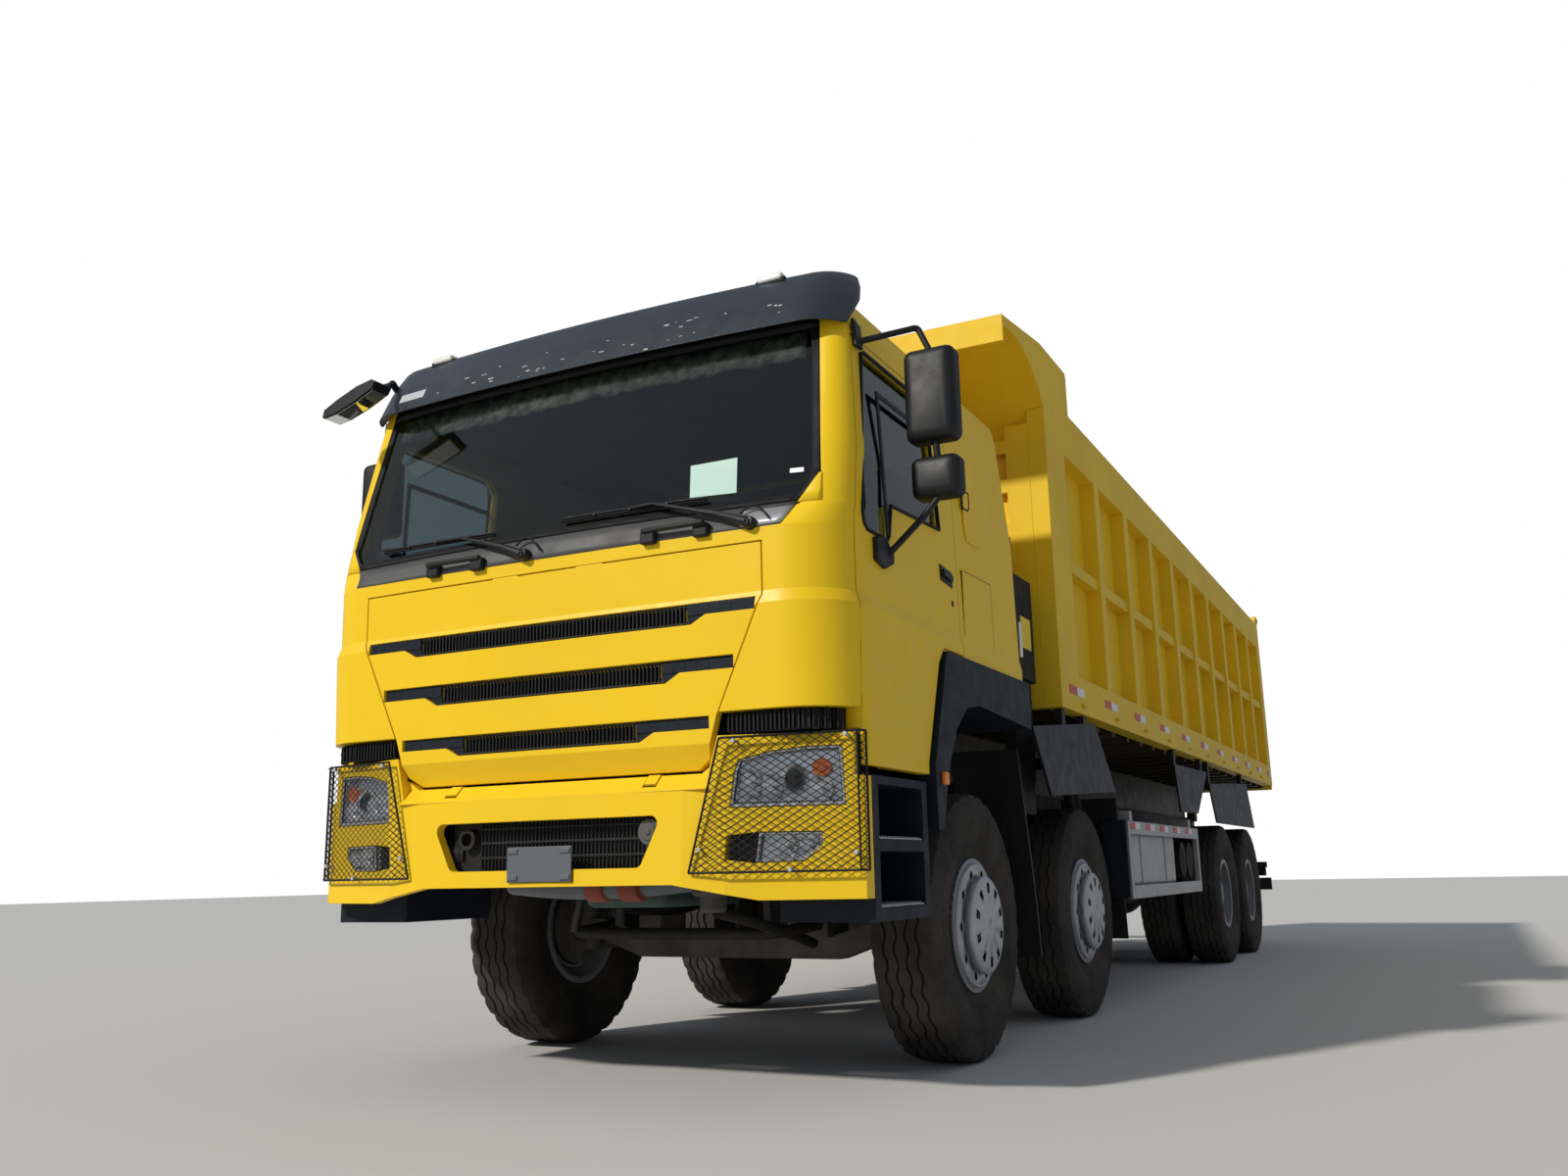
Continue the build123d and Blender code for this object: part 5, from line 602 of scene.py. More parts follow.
def guards():
    """Fine wire guards over the pods, wrapped round the bumper's corners."""
    wires, edges, bolts = meshes(3)
    for side in (1, -1):
        lattice_in(wires, side, GUARD_CORNERS, 38.0, 25.0, WIRE_RADIUS, GUARD_BACK)
        for start, end in pairs(GUARD_CORNERS):
            pod_wire(edges, side, start, end, FRAME_RADIUS, 8, GUARD_BACK)
        x, y, _ = pod_point(side, 1219, 0, GUARD_BACK)
        side_x = side * GUARD_SIDE_X
        for n in range(19):
            z = 0.790 + n * 0.0252
            for rise in (0.025, -0.025):
                end = min(max(z + rise, 0.786), 1.246)
                rod_in(wires, (x, y, z), (side_x, y + 0.034 * (end - z) / rise, end), WIRE_RADIUS, 5)
        low, high = 0.784, 1.249
        for z in (low, high):
            rod_in(edges, (x, y, z), (side_x, y + 0.036, z), FRAME_RADIUS, 8)
        rod_in(edges, (side_x, y + 0.036, low), (side_x, y + 0.036, high), FRAME_RADIUS, 8)
        for x, z in ((676, 862), (806, 1228), (1180, 1238), (1206, 842), (990, 790)):
            point = pod_point(side, x, z, -0.026)
            rod_in(bolts, point, point + Vector((0, -0.010, 0)), 0.008, 12)
            rod_in(bolts, point, pod_point(side, min(x, 1190), z, 0.002), 0.005, 8)
    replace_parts(finish("guard_wires", wires, "black_plastic", "chassis"), "lamp_guards")
    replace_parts(finish("guard_edges", edges, "chassis_black", "chassis"), "lamp_guards")
    finish("guard_bolts", bolts, "step_grey", "chassis")


def rear_lamps():
    """Lamp clusters and blank number plate at the tail."""
    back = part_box("rear_bar")[1].y
    housings, red, amber, white = meshes(4)
    for side in (1, -1):
        box_in(housings, (side * 0.76, back, 0.66), (side * 1.13, back + 0.050, 0.79))
        for mesh, x0, x1 in ((white, 0.775, 0.865), (red, 0.872, 0.995), (amber, 1.002, 1.115)):
            box_in(mesh, (side * x0, back + 0.048, 0.675), (side * x1, back + 0.064, 0.775))
    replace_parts(finish("tail_housings", housings, "black_plastic", "chassis", bevel=0.006), "lamps")
    finish("tail_red", red, "red_lens", "chassis", bevel=0.005)
    finish("tail_amber", amber, "orange_lens", "chassis", bevel=0.005)
    finish("tail_white", white, "white_patch", "chassis", bevel=0.005)
    boxes("rear_plate", "slate_plate", "chassis",
          ((-0.22, back - 0.002, 0.66), (0.22, back + 0.004, 0.78)), bevel=0.002)


def bumper_details():
    """Blank plate with clips, screen in the intake, plugs and ribbed strips above the pods."""
    plate, screen, plugs, strips = meshes(4)
    block(plate, (-145, 145), (-1514, -1508), (763, 890))
    for x in (-118, 118):
        for z in (779, 874):
            block(plate, (x - 22, x + 22), (-1519, -1513), (z - 9, z + 9))
    finish("front_plate", plate, "slate_plate", "chassis", bevel=0.0015)
    block(screen, (-470, 545), (-1432, -1426), (790, 1000))
    for x in range(-330, 520, 17):
        block(screen, (x, x + 5), (-1440, -1430), (796, 995))
    for z in (850, 905, 958):
        block(screen, (-330, 520), (-1442, -1430), (z, z + 9))
    finish("intake_screen", screen, "black_plastic", "chassis")
    for y0, y1, radius, sides in ((-1470, -1430, 0.046, 28), (-1476, -1466, 0.030, 24),
                                  (-1481, -1474, 0.012, 6)):
        rod_in(plugs, at(448, y0, 930), at(448, y1, 930), radius, sides)
    finish("intake_plug", plugs, "cowl_grey", "chassis", bevel=0.002)
    for side in (1, -1):
        for x in range(770, 1166, 33):
            y = max(skin_y(x, 1290), skin_y(x + 33, 1290))
            block(strips, (x, x + 33), (y + 34, y + 42), (1258, 1328), side)
            for bar in (x, x + 16):
                block(strips, (bar, bar + 6), (y + 20, y + 36), (1262, 1324), side)
    finish("corner_strips", strips, "black_plastic", "cab")


# Cab outside

# height, half width, front, bow, corner radius
CAB_ROWS = ((1100, 1226, -1420, 15, 180), (1225, 1226.6, -1492, 15, 250),
            (1700, 1229, -1512, 15, 250), (1745, 1218, -1500, 15, 250),
            (1975, 1214, -1506, 18, 240), (2060, 1212, -1484, 60, 140),
            (2300, 1208, -1424, 58, 120), (2840, 1156, -1290, 52, 80))
# bottom, top, half width, half width of the open middle
SLOTS = ((1650, 1727, 902, 644), (1448, 1530, 812, 533), (1245, 1322, 708, 420))


def skin_y(x, z):
    """Front face of the cab at millimetre x and z, counted from the first axle."""
    for low, high in zip(CAB_ROWS, CAB_ROWS[1:]):
        if z <= high[0]:
            break
    t = (z - low[0]) / (high[0] - low[0])
    half, front, bow, corner = [a + (b - a) * t for a, b in zip(low[1:], high[1:])]
    flat = half - corner
    if abs(x) <= flat:
        return front + bow * (x / flat) ** 2
    reach = min(1.0, (abs(x) - flat) / corner)
    return front + bow + corner * (1 - math.sqrt(1 - reach * reach))


def skin_point(x, z, off=0.0):
    """A point off the cab's front face, from millimetres."""
    return at(x, skin_y(x, z) + off, z)


def patch(name, rows, off, look_name, slot=None, thick=0.0012, columns=40):
    """A thin piece that follows the cab's front, from rows of (height, left x, right x)."""
    mesh = bmesh.new()
    bridge(mesh, [[mesh.verts.new(skin_point(x0 + (x1 - x0) * n / columns, z, off))
                   for n in range(columns + 1)] for z, x0, x1 in rows])
    piece = finish(name, mesh, look_name, "cab", slot)
    thicken(piece, thick, 0.0)
    return piece


def grille_details():
    """Plain blades in the ends of the flap's slots and fine bars in their middles."""
    bars, blades = meshes(2)
    for z0, z1, half, middle in SLOTS:
        band = z0 + 0.42 * (z1 - z0)
        for side in (1, -1):
            wedge = ((middle - 20, z0 + 3), (middle + 2, z0 + 3), (middle + 60, band + 4),
                     (middle - 20, band + 4))
            y = skin_y(middle, z0) + 12
            prism_in(blades, [at(side * x, y, z) for x, z in wedge], (0, 0.006, 0))
            for x0, x1 in steps(side * (middle - 18), side * (half - 6), 6):
                y0, y1 = skin_y(x0, band) + 9, skin_y(x1, band) + 9
                prism_in(blades, [at(x0, y0, band + 2), at(x1, y1, band + 2),
                                  at(x1, y1, z1 - 2), at(x0, y0, z1 - 2)], (0, 0.010, 0))
        count = int(2 * middle / 17)
        for n in range(count + 1):
            x = -middle + 16 + (2 * middle - 32) * n / count
            y = skin_y(x, z0)
            block(bars, (x - 3, x + 3), (y + 11, y + 34), (z0 + 6, z1 - 6))
        for z in (z0 + 4, z1 - 10):
            for x0, x1 in steps(4 - middle, middle - 4, 8):
                y = max(skin_y(x0, z), skin_y(x1, z))
                block(bars, (x0, x1), (y + 10, y + 34), (z, z + 6))
        for x0, x1 in steps(20 - middle, middle - 20, 12):
            y = max(skin_y(x0, z0), skin_y(x1, z0))
            block(bars, (x0, x1), (y + 30, y + 34), (z0 + 10, z1 - 10))
    finish("grille_bars", bars, "black_plastic", "grille_flap")
    finish("grille_blades", blades, "dark_trim", "grille_flap")


def cowl():
    """Grey panel between the front skin and the glass, with its handles."""
    patch("cowl_panel", ((1978, -1000, 1000), (2000, -1006, 1006), (2030, -1022, 1022),
                         (2066, -1044, 1044)), -2.5, "cowl_grey", thick=0.004)
    patch("cowl_end", ((1984, 842, 1004), (2006, 842, 1014), (2052, 842, 1034)), -5.2, "step_grey",
          thick=0.002, columns=6)
    grips = bmesh.new()
    z = 2000
    for x0, x1 in ((440, 722), (-590, -300)):
        for x in (x0, x1 - 62):
            y = skin_y(x + 30, z)
            block(grips, (x, x + 62), (y - 34, y - 2), (z - 34, z + 18))
        y = min(skin_y(x0, z), skin_y(x1, z))
        block(grips, (x0 + 8, x1 - 8), (y - 42, y - 20), (z + 6, z + 26))
    finish("cowl_grips", grips, "black_plastic", "cab", bevel=0.007)


def wiper(word, pivot, knee, heel, tip):
    """One wiper: capped spindle, tapered arm, bridge and blade, from millimetre (x, z)."""
    arm, blade = meshes(2)
    base = skin_point(*pivot, -8)
    rod_in(arm, base, base + Vector((0, -0.032, 0.004)), 0.026, 20, 0.021)
    rod_in(arm, base + Vector((0, -0.030, 0)), base + Vector((0, -0.040, 0)), 0.014, 6)
    x, z = pivot
    middle = skin_point((x * 2 + knee[0]) / 3, (z * 2 + knee[1]) / 3 + 8, -40)
    rod_in(arm, skin_point(x, z, -36), middle, 0.019, 8, 0.013)
    rod_in(arm, middle, skin_point(*knee, -34), 0.013, 8, 0.006)
    line = [[a + (b - a) * n / 20 for a, b in zip(heel, tip)] for n in range(21)]
    for x0, z0 in line[5:20:5]:
        rod_in(arm, skin_point(x0, z0 + 2, -14), skin_point(x0, z0 + 4, -26), 0.006, 8)
    for (x0, z0), (x1, z1) in zip(line[::2], line[2::2]):
        rod_in(blade, skin_point(x0, z0, -9), skin_point(x1, z1, -9), 0.007, 8)
        rod_in(arm, skin_point(x0, z0 + 8, -19), skin_point(x1, z1 + 8, -19), 0.0045, 6)
    rod_in(arm, skin_point(*knee, -32), skin_point(line[10][0], line[10][1] + 8, -20), 0.007, 8)
    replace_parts(finish(f"wiper_arm_{word}", arm, "black_plastic", "cab", bevel=0.0015), "wipers")
    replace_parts(finish(f"wiper_blade_{word}", blade, "rubber_seal", "cab"), "wipers")
    route = ((-50, 45, -20), (-15, 78, -30), (35, 62, -30), (72, 12, -16))
    pipe(f"washer_pipe_{word}", [skin_point(x + a, z + b, off) for a, b, off in route], 0.004,
         "rubber_seal", "cab")


def screen_details():
    """Black border and upper trim of the windscreen, blank sheets behind it, corner fillers."""
    for side, word in SIDES:
        edge = [(z, 1127 - 65 * (z - 2078) / 744)
                for z in (2110, 2200, 2300, 2400, 2550, 2700, 2823)]
        patch(f"screen_border_{word}", [(z, side * (x - 34), side * (x + 3)) for z, x in edge], 3.2,
              "rubber_seal", columns=4)
        filler = ((2064, 1043, 1131), (2110, 1074, 1128), (2150, 1101, 1125), (2172, 1116, 1124))
        patch(f"screen_corner_{word}", [(z, side * x0, side * x1) for z, x0, x1 in filler], -0.6,
              "yellow_paint", "yellow_paint", 0.006, 6)
        corner = ((2066, 1010, 1046), (2110, 1058, 1076), (2150, 1087, 1103), (2180, 1092, 1121))
        patch(f"screen_corner_edge_{word}", [(z, side * x0, side * x1) for z, x0, x1 in corner],
              -0.9, "rubber_seal", thick=0.004, columns=4)
    patch("screen_foot", ((2058, -1048, 1048), (2080, -1062, 1062), (2100, -1076, 1076)), -1.4,
          "rubber_seal")
    patch("screen_head", ((2792, -1062, 1062), (2820, -1062, 1062), (2862, -1050, 1050)), -1.8,
          "rubber_seal")
    band = patch("screen_top_trim", [(z, -1006, 1006) for z in (2672, 2712, 2752, 2800)], 26,
                 "trim_felt", thick=0.006, columns=60)
    for vertex in band.data.vertices:
        if vertex.co.z < 2.68:
            vertex.co.z += RANDOM.uniform(-0.006, 0.010)
    for name, look_name, corners in (
            ("blank_sheet", "pale_green", ((605, 2141), (797, 2135), (783, 2282), (590, 2277))),
            ("blank_label", "white_patch", ((1000, 2186), (1054, 2184), (1053, 2203), (999, 2205)))):
        mesh = bmesh.new()
        prism_in(mesh, [skin_point(x, z, 3.4) for x, z in corners], (0, 0.0012, 0))
        finish(name, mesh, look_name, "cab")


# height, half width, front, bow, corner radius, rear end of the sides
VISOR_ROWS = ((2796, 1182, -1374, 40, 190, -1236), (2800, 1183, -1377, 40, 190, -1226),
              (2868, 1180, -1346, 41, 190, -1168), (2928, 1178, -1317, 42, 190, -1118),
              (2938, 1177, -1310, 42, 188, -1112), (2998, 1171, -1272, 43, 180, -1086),
              (3044, 1162, -1242, 45, 172, -1078), (3058, 1150, -1230, 46, 164, -1076))


def visor_line(z, half, front, bow, corner, rear):
    """Plan outline of the visor at one height, from its right rear end to its left."""
    flat, shoulder = half - corner, front + bow
    last = math.acos(max(0.0, 1 - (rear - shoulder) / corner))
    left = []
    for share in [n / 12 for n in range(1, 13)]:
        left.append((flat * share, front + bow * share ** 2))
    for turn in [last * n / 12 for n in range(1, 13)]:
        left.append((flat + corner * math.sin(turn), shoulder + corner * (1 - math.cos(turn))))
    right = [(-x, y) for x, y in reversed(left)]
    return [at(x, y, z) for x, y in right + [(0, front)] + left]


def visor_y(x, z):
    """Front face of the visor's band at millimetre x and z."""
    low, high = VISOR_ROWS[1], VISOR_ROWS[3]
    front = low[2] + (high[2] - low[2]) * (z - low[0]) / (high[0] - low[0])
    return front + 41 * (x / 990) ** 2


def visor():
    """Sun visor wrapped round the cab's corners, with tabs, marker lamps, chips, a bare patch."""
    shell, tabs, lamps, bases, chips, bare = meshes(6)
    bridge(shell, [[shell.verts.new(p) for p in visor_line(*row)] for row in VISOR_ROWS])
    piece = finish("visor_shell", shell, "visor_blue", "cab", "dark_trim", smooth=24.0)
    thicken(piece, 0.007)
    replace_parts(piece, "sun_visor")
    for x in (-860, -330, 330, 860):
        y = -1268 + 43 * (x / 991) ** 2
        block(tabs, (x - 30, x + 30), (y + 4, y + 190), (2986, 3010))
    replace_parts(finish("visor_tabs", tabs, "black_plastic", "cab", bevel=0.003), "sun_visor")
    for x in (-833, 833):
        y = -1240 + 45 * (x / 990) ** 2
        block(bases, (x - 64, x + 64), (y - 2, y + 66), (3040, 3062))
        block(lamps, (x - 54, x + 54), (y - 8, y + 52), (3050, 3082))
    finish("marker_bases", bases, "rubber_seal", "cab", bevel=0.004)
    finish("marker_lamps", lamps, "white_patch", "cab", bevel=0.010)
    for _ in range(34):
        x, z = RANDOM.uniform(-780, 980), RANDOM.uniform(2806, 2922)
        long, wide = RANDOM.uniform(3, 15), RANDOM.uniform(1.2, 3.2)
        y = visor_y(x, z) - 0.7
        block(chips, (x - long, x + long), (y - 0.8, y + 0.8), (z - wide, z + wide))
    finish("visor_chips", chips, "chip_pale", "cab")
    for x0, x1 in steps(-982, -832, 6):
        prism_in(bare, [at(x, visor_y(x, z) - 1.6, z) for x, z in
                        ((x0, 2850), (x1, 2850), (x1, 2893), (x0, 2893))], (0, 0.0022, 0))
    finish("visor_patch", bare, "chip_pale", "cab")


def door_point(side, y, z, off=0.0):
    """A point off a door's face, from millimetre y and z."""
    return at(side * (1213.4 - max(0.0, z - 2300) * 0.0963 + off), y, z)


def door_panel(mesh, side, outline, thick, off=0.0):
    """A flat piece on a door with a millimetre outline of (y, z)."""
    prism_in(mesh, [door_point(side, y, z, off) for y, z in outline], (side * thick, 0, 0))


def door_details():
    """Window seals and dividers, handles, lock dots and mirror glasses of both doors."""
    for side, word in SIDES:
        body = f"door_{word}"
        handle, divider, pads, glass = meshes(4)
        door_panel(handle, side, ((-473, 2012), (-470, 1945), (-330, 1932), (-328, 1998)), 0.005)
        door_panel(handle, side, ((-455, 1992), (-452, 1966), (-346, 1956), (-345, 1982)), 0.012, 4)
        rod_in(handle, door_point(side, -337, 1866, -2), door_point(side, -337, 1866, 5), 0.014, 18)
        finish(f"door_handle_{word}", handle, "black_plastic", body, bevel=0.003)
        for y0, z0, y1, z1 in ((-1022, 2000, -1000, 2589), (-1000, 2567, -455, 2589)):
            door_panel(divider, side, ((y0, z0), (y1, z0), (y1, z1), (y0, z1)), 0.008, -3)
        finish(f"window_divider_{word}", divider, "black_plastic", body, bevel=0.002)
        door_panel(pads, side, ((-1166, 1972), (-1166, 1884), (-1080, 1866), (-1000, 1900),
                                (-1000, 1930), (-1070, 1990)), 0.020)
        door_panel(pads, side, ((-1190, 2832), (-1190, 2716), (-1130, 2716), (-1130, 2812)), 0.018)
        finish(f"mirror_feet_{word}", pads, "black_plastic", body, bevel=0.006)
        block(glass, (1312, 1484), (-935, -931.5), (2378, 2718), side)
        block(glass, (1318, 1484), (-923, -919.5), (2154, 2293), side)
        finish(f"mirror_glass_{word}", glass, "mirror_glass", body, bevel=0.002)
        seal = ((-1249, 2050), (-1240, 2010), (-1211, 1990), (-1022, 1990), (-1004, 2010),
                (-975, 2136), (-455, 2160), (-455, 2650), (-475, 2705), (-515, 2722),
                (-1095, 2722), (-1125, 2706), (-1249, 2050))
        pipe(f"window_seal_{word}", [door_point(side, y, z) for y, z in seal], 0.008,
             "rubber_seal", body, "POLY")


# share of the depth, how far the outline is pulled in
PILLOW = ((1.0, 0.0), (0.45, 0.0), (0.27, 0.004), (0.14, 0.011), (0.05, 0.022), (0.0, 0.038))
# foot on the door, bend, end at a case
MIRROR_ARMS = (((1170, -1150, 2746), (1352, -974, 2833), (1400, -972, 2722)),
               ((1219, -1040, 1925), (1345, -984, 2068), (1412, -962, 2155)))


def soft_box(mesh, low, high, corner):
    """A case with rounded corners whose front is pillowed."""
    middle, half = (low + high) / 2, (high - low) / 2
    rows = []
    for share, pull in PILLOW:
        radius = max(corner - pull * 0.4, corner * 0.4)
        y = low.y + (high.y - low.y) * share
        row = []
        for n in range(28):
            turn = math.radians(90 * (n // 7) + 15 * (n % 7))
            sx = 1 if n // 7 in (0, 3) else -1
            sz = 1 if n // 7 in (0, 1) else -1
            row.append(mesh.verts.new((
                middle.x + sx * (abs(half.x) - pull - radius) + radius * math.cos(turn), y,
                middle.z + sz * (half.z - pull - radius) + radius * math.sin(turn))))
        rows.append(row)
    bridge(mesh, rows, True)
    mesh.faces.new(rows[0])
    mesh.faces.new(rows[-1][::-1])


def mirrors():
    """Soft-cornered mirror heads on bent arms from both doors."""
    for side, word in SIDES:
        body = f"door_{word}"
        cases, joints = meshes(2)
        soft_box(cases, at(side * 1295, -1018, 2361), at(side * 1500, -934, 2734), 0.032)
        soft_box(cases, at(side * 1303, -1002, 2141), at(side * 1498, -922, 2306), 0.032)
        piece = finish(f"mirror_cases_{word}", cases, "black_plastic", body, "black_plastic", 40.0)
        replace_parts(piece, f"door_mirror_{word}")
        for k, knots in enumerate(MIRROR_ARMS):
            foot, bend, end = [at(side * x, y, z) for x, y, z in knots]
            route = [foot, foot.lerp(bend, 0.86), bend, bend.lerp(end, 0.3), end]
            pipe(f"mirror_arm_{word}_{k + 1}", route, 0.0125, "black_plastic", body)
            rod_in(joints, foot, foot + (bend - foot).normalized() * 0.022, 0.021, 20, 0.017)
        rod_in(joints, at(side * 1404, -968, 2380), at(side * 1408, -965, 2290), 0.0135, 20)
        finish(f"mirror_joints_{word}", joints, "black_plastic", body, bevel=0.002)


def side_panel(mesh, x, outline, thick):
    """A flat piece across X with a millimetre outline of (y, z)."""
    prism_in(mesh, [at(x, y, z) for y, z in outline], (thick, 0, 0))


def cab_side_details():
    """Locker lids, pressed panels, orange markers and cab steps on both sides."""
    lids, seams, amber, treads, ribs, vents = meshes(6)
    lid = ((-205, 2034), (-205, 1716), (-190, 1702), (184, 1716), (170, 2042))
    seam = [(y + (8 if y > 0 else -3), z + (3 if z > 1900 else -5)) for y, z in lid]
    rib = ((-110, 2185), (-140, 2260), (-120, 2560), (30, 2560), (70, 2260), (45, 2185))
    vent = ((-152, 2414), (-154, 2340), (-140, 2330), (-80, 2332), (-66, 2344), (-64, 2414))
    for side in (1, -1):
        side_panel(seams, side * 1210, seam, side * 0.0082)
        side_panel(lids, side * 1210, lid, side * 0.0100)
        side_panel(ribs, side * 1210, rib, side * 0.006)
        for near, far in pairs(vent):
            rod_in(vents, at(side * 1214, *near), at(side * 1214, *far), 0.005, 8)
        block(amber, (1244, 1262), (-636, -590), (1100, 1150), side)
        for z in (658, 888):
            block(treads, (1040, 1219), (-1200, -806), (z, z + 6), side)
            for y in range(-1190, -800, 28):
                block(treads, (1050, 1212), (y, y + 9), (z + 5, z + 11), side)
    finish("locker_seams", seams, "rubber_seal", "cab")
    finish("locker_lids", lids, "yellow_paint", "cab", "yellow_paint", bevel=0.002)
    finish("side_pressings", ribs, "yellow_paint", "cab", "yellow_paint", bevel=0.005)
    finish("side_vents", vents, "rubber_seal", "cab")
    finish("side_markers", amber, "orange_lens", "cab", bevel=0.005)
    finish("step_treads", treads, "step_grey", "chassis")


def lug_covers():
    """Covers on the cab's two lugs that fill the slots the lugs swing through."""
    mesh = bmesh.new()
    line = ((-1476, 1097), (-1443, 1130), (-1266, 1130), (-1266, 1122), (-1439, 1122),
            (-1470, 1090))
    for x in (431, -481):
        side_panel(mesh, x, line, 0.050)
    finish("lug_covers", mesh, "yellow_paint", "cab", "yellow_paint")


def kerb_glass():
    """Reflecting underside of the mirror ahead of the right front corner."""
    mesh = bmesh.new()
    line = ((-1196, 2750.5), (-1130, 2759.5), (-1020, 2793.5), (-926, 2834))
    for (x0, z0), (x1, z1) in zip(line, line[1:]):
        prism_in(mesh, [at(x0, -1530, z0), at(x1, -1530, z1), at(x1, -1530, z1 - 1.5),
                        at(x0, -1530, z0 - 1.5)], (0, 0.080, 0))
    finish("kerb_mirror_glass", mesh, "mirror_glass", "cab")


# Cab inside

def cushion(name, low, high, turn=0.0, seams=(0.0,), crown=0.24):
    """A stuffed pad with pulled-in sides, a crowned top and sewn channels, from mm corners."""
    size = (Vector(high) - Vector(low)) / 2000.0
    mesh = bmesh.new()
    bmesh.ops.create_cube(mesh, size=2.0)
    bmesh.ops.subdivide_edges(mesh, edges=mesh.edges[:], cuts=15, use_grid_fill=True)
    flat = min(range(3), key=lambda n: size[n])
    across, along = [n for n in range(3) if n != flat]
    for vertex in mesh.verts:
        u, v, w = vertex.co[across], vertex.co[along], vertex.co[flat]
        swell = (1 - u ** 4) * (1 - v ** 4)
        pull = 1 - 0.05 * w * w
        depth = sum(math.exp(-((u - s) / 0.05) ** 2) for s in seams) * 0.16 * swell
        rise = 1 - crown + crown * swell
        vertex.co[across] = u * pull * (1 - 0.03 * (1 - v * v)) * size[across]
        vertex.co[along] = v * pull * (1 - 0.03 * (1 - u * u)) * size[along]
        vertex.co[flat] = w * (rise - (depth if abs(w) > 0.9 else 0.0)) * size[flat]
    data = baked(name, mesh)
    centre = at(*[(a + b) / 2 for a, b in zip(low, high)])
    data.transform(Matrix.Translation(centre) @ Matrix.Rotation(turn, 4, "X"))
    piece = place(name, data, "seat_fabric", "cab", "seat_fabric", smooth=60.0)
    rounded = piece.modifiers.new("rounded", "SUBSURF")
    rounded.levels = rounded.render_levels = 1
    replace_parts(piece, "seats")


def cab_inside():
    """Padded seats and bunk on their bases, and the linings that show through the glass."""
    bases = bmesh.new()
    boxes("cab_lining", "cab_lining", "cab", (at(-1060, 548, 1910), at(1060, 556, 2800)),
          (at(-1050, -1000, 2822), at(1050, 500, 2832)))
    for x, word in ((560, "left"), (-560, "right")):
        cushion(f"seat_cushion_{word}", (x - 250, -620, 1702), (x + 250, -110, 1842),
                seams=(-0.45, 0.45))
        cushion(f"seat_back_{word}", (x - 240, -145, 1835), (x + 240, -15, 2490), -0.12,
                seams=(-0.45, 0.45))
        cushion(f"head_rest_{word}", (x - 130, -48, 2505), (x + 130, 42, 2680), -0.10, ())
        block(bases, (x - 200, x + 200), (-500, -120), (1484, 1708))
        for post in (x - 60, x + 60):
            rod_in(bases, at(post, 0, 2470), at(post, 2, 2520), 0.008, 12)
    cushion("bunk_mattress", (-1098, 104, 1770), (1098, 552, 1900), 0.0, (-0.33, 0.33), 0.14)
    block(bases, (-1098, 1098), (104, 552), (1484, 1776))
    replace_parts(finish("seat_bases", bases, "black_plastic", "cab", bevel=0.008), "seats")


# Bed

def bed_details():
    """Reflective patches, rope hooks and the tailgate's pins on the load bed."""
    front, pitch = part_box("bed_sides")[0].y, 0.772
    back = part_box("tailgate")[1].y
    red, white, hooks, rear_red, rear_white, pins = meshes(6)
    for side in (1, -1):
        for n in range(11):
            y = front + 0.16 + n * pitch
            for mesh, start in ((red, y), (white, y + 0.15)):
                box_in(mesh, (side * 1.2475, start, 1.680), (side * 1.2505, start + 0.15, 1.725))
        foot, tip = side * 1.247, side * 1.262
        for n in range(10):
            y = front + 0.42 + n * pitch
            rod_in(hooks, (foot, y, 1.632), (tip, y, 1.632), 0.009, 10)
            rod_in(hooks, (tip, y - 0.03, 1.632), (tip, y + 0.03, 1.632), 0.008, 10)
        rod_in(pins, (side * 1.195, back - 0.040, 3.375), (side * 1.252, back - 0.040, 3.375),
               0.026, 20)
    for n in range(6):
        x = -1.14 + n * 0.40
        box_in(rear_red if n % 2 else rear_white, (x, back - 0.002, 1.58),
               (x + 0.30, back + 0.0015, 1.625))
    finish("bed_patches_red", red, "red_patch", "bed")
    finish("bed_patches_white", white, "white_patch", "bed")
    finish("rope_hooks", hooks, "bed_paint", "bed", "bed_paint")
    finish("tail_patches_red", rear_red, "red_patch", "tailgate")
    finish("tail_patches_white", rear_white, "white_patch", "tailgate")
    finish("tailgate_pins", pins, "chassis_black", "bed", bevel=0.002)


# Chassis

def chassis_pipe(name, radius, look_name, *points):
    """A pipe on the chassis through millimetre points."""
    pipe(name, [at(*point) for point in points], radius, look_name, "chassis")


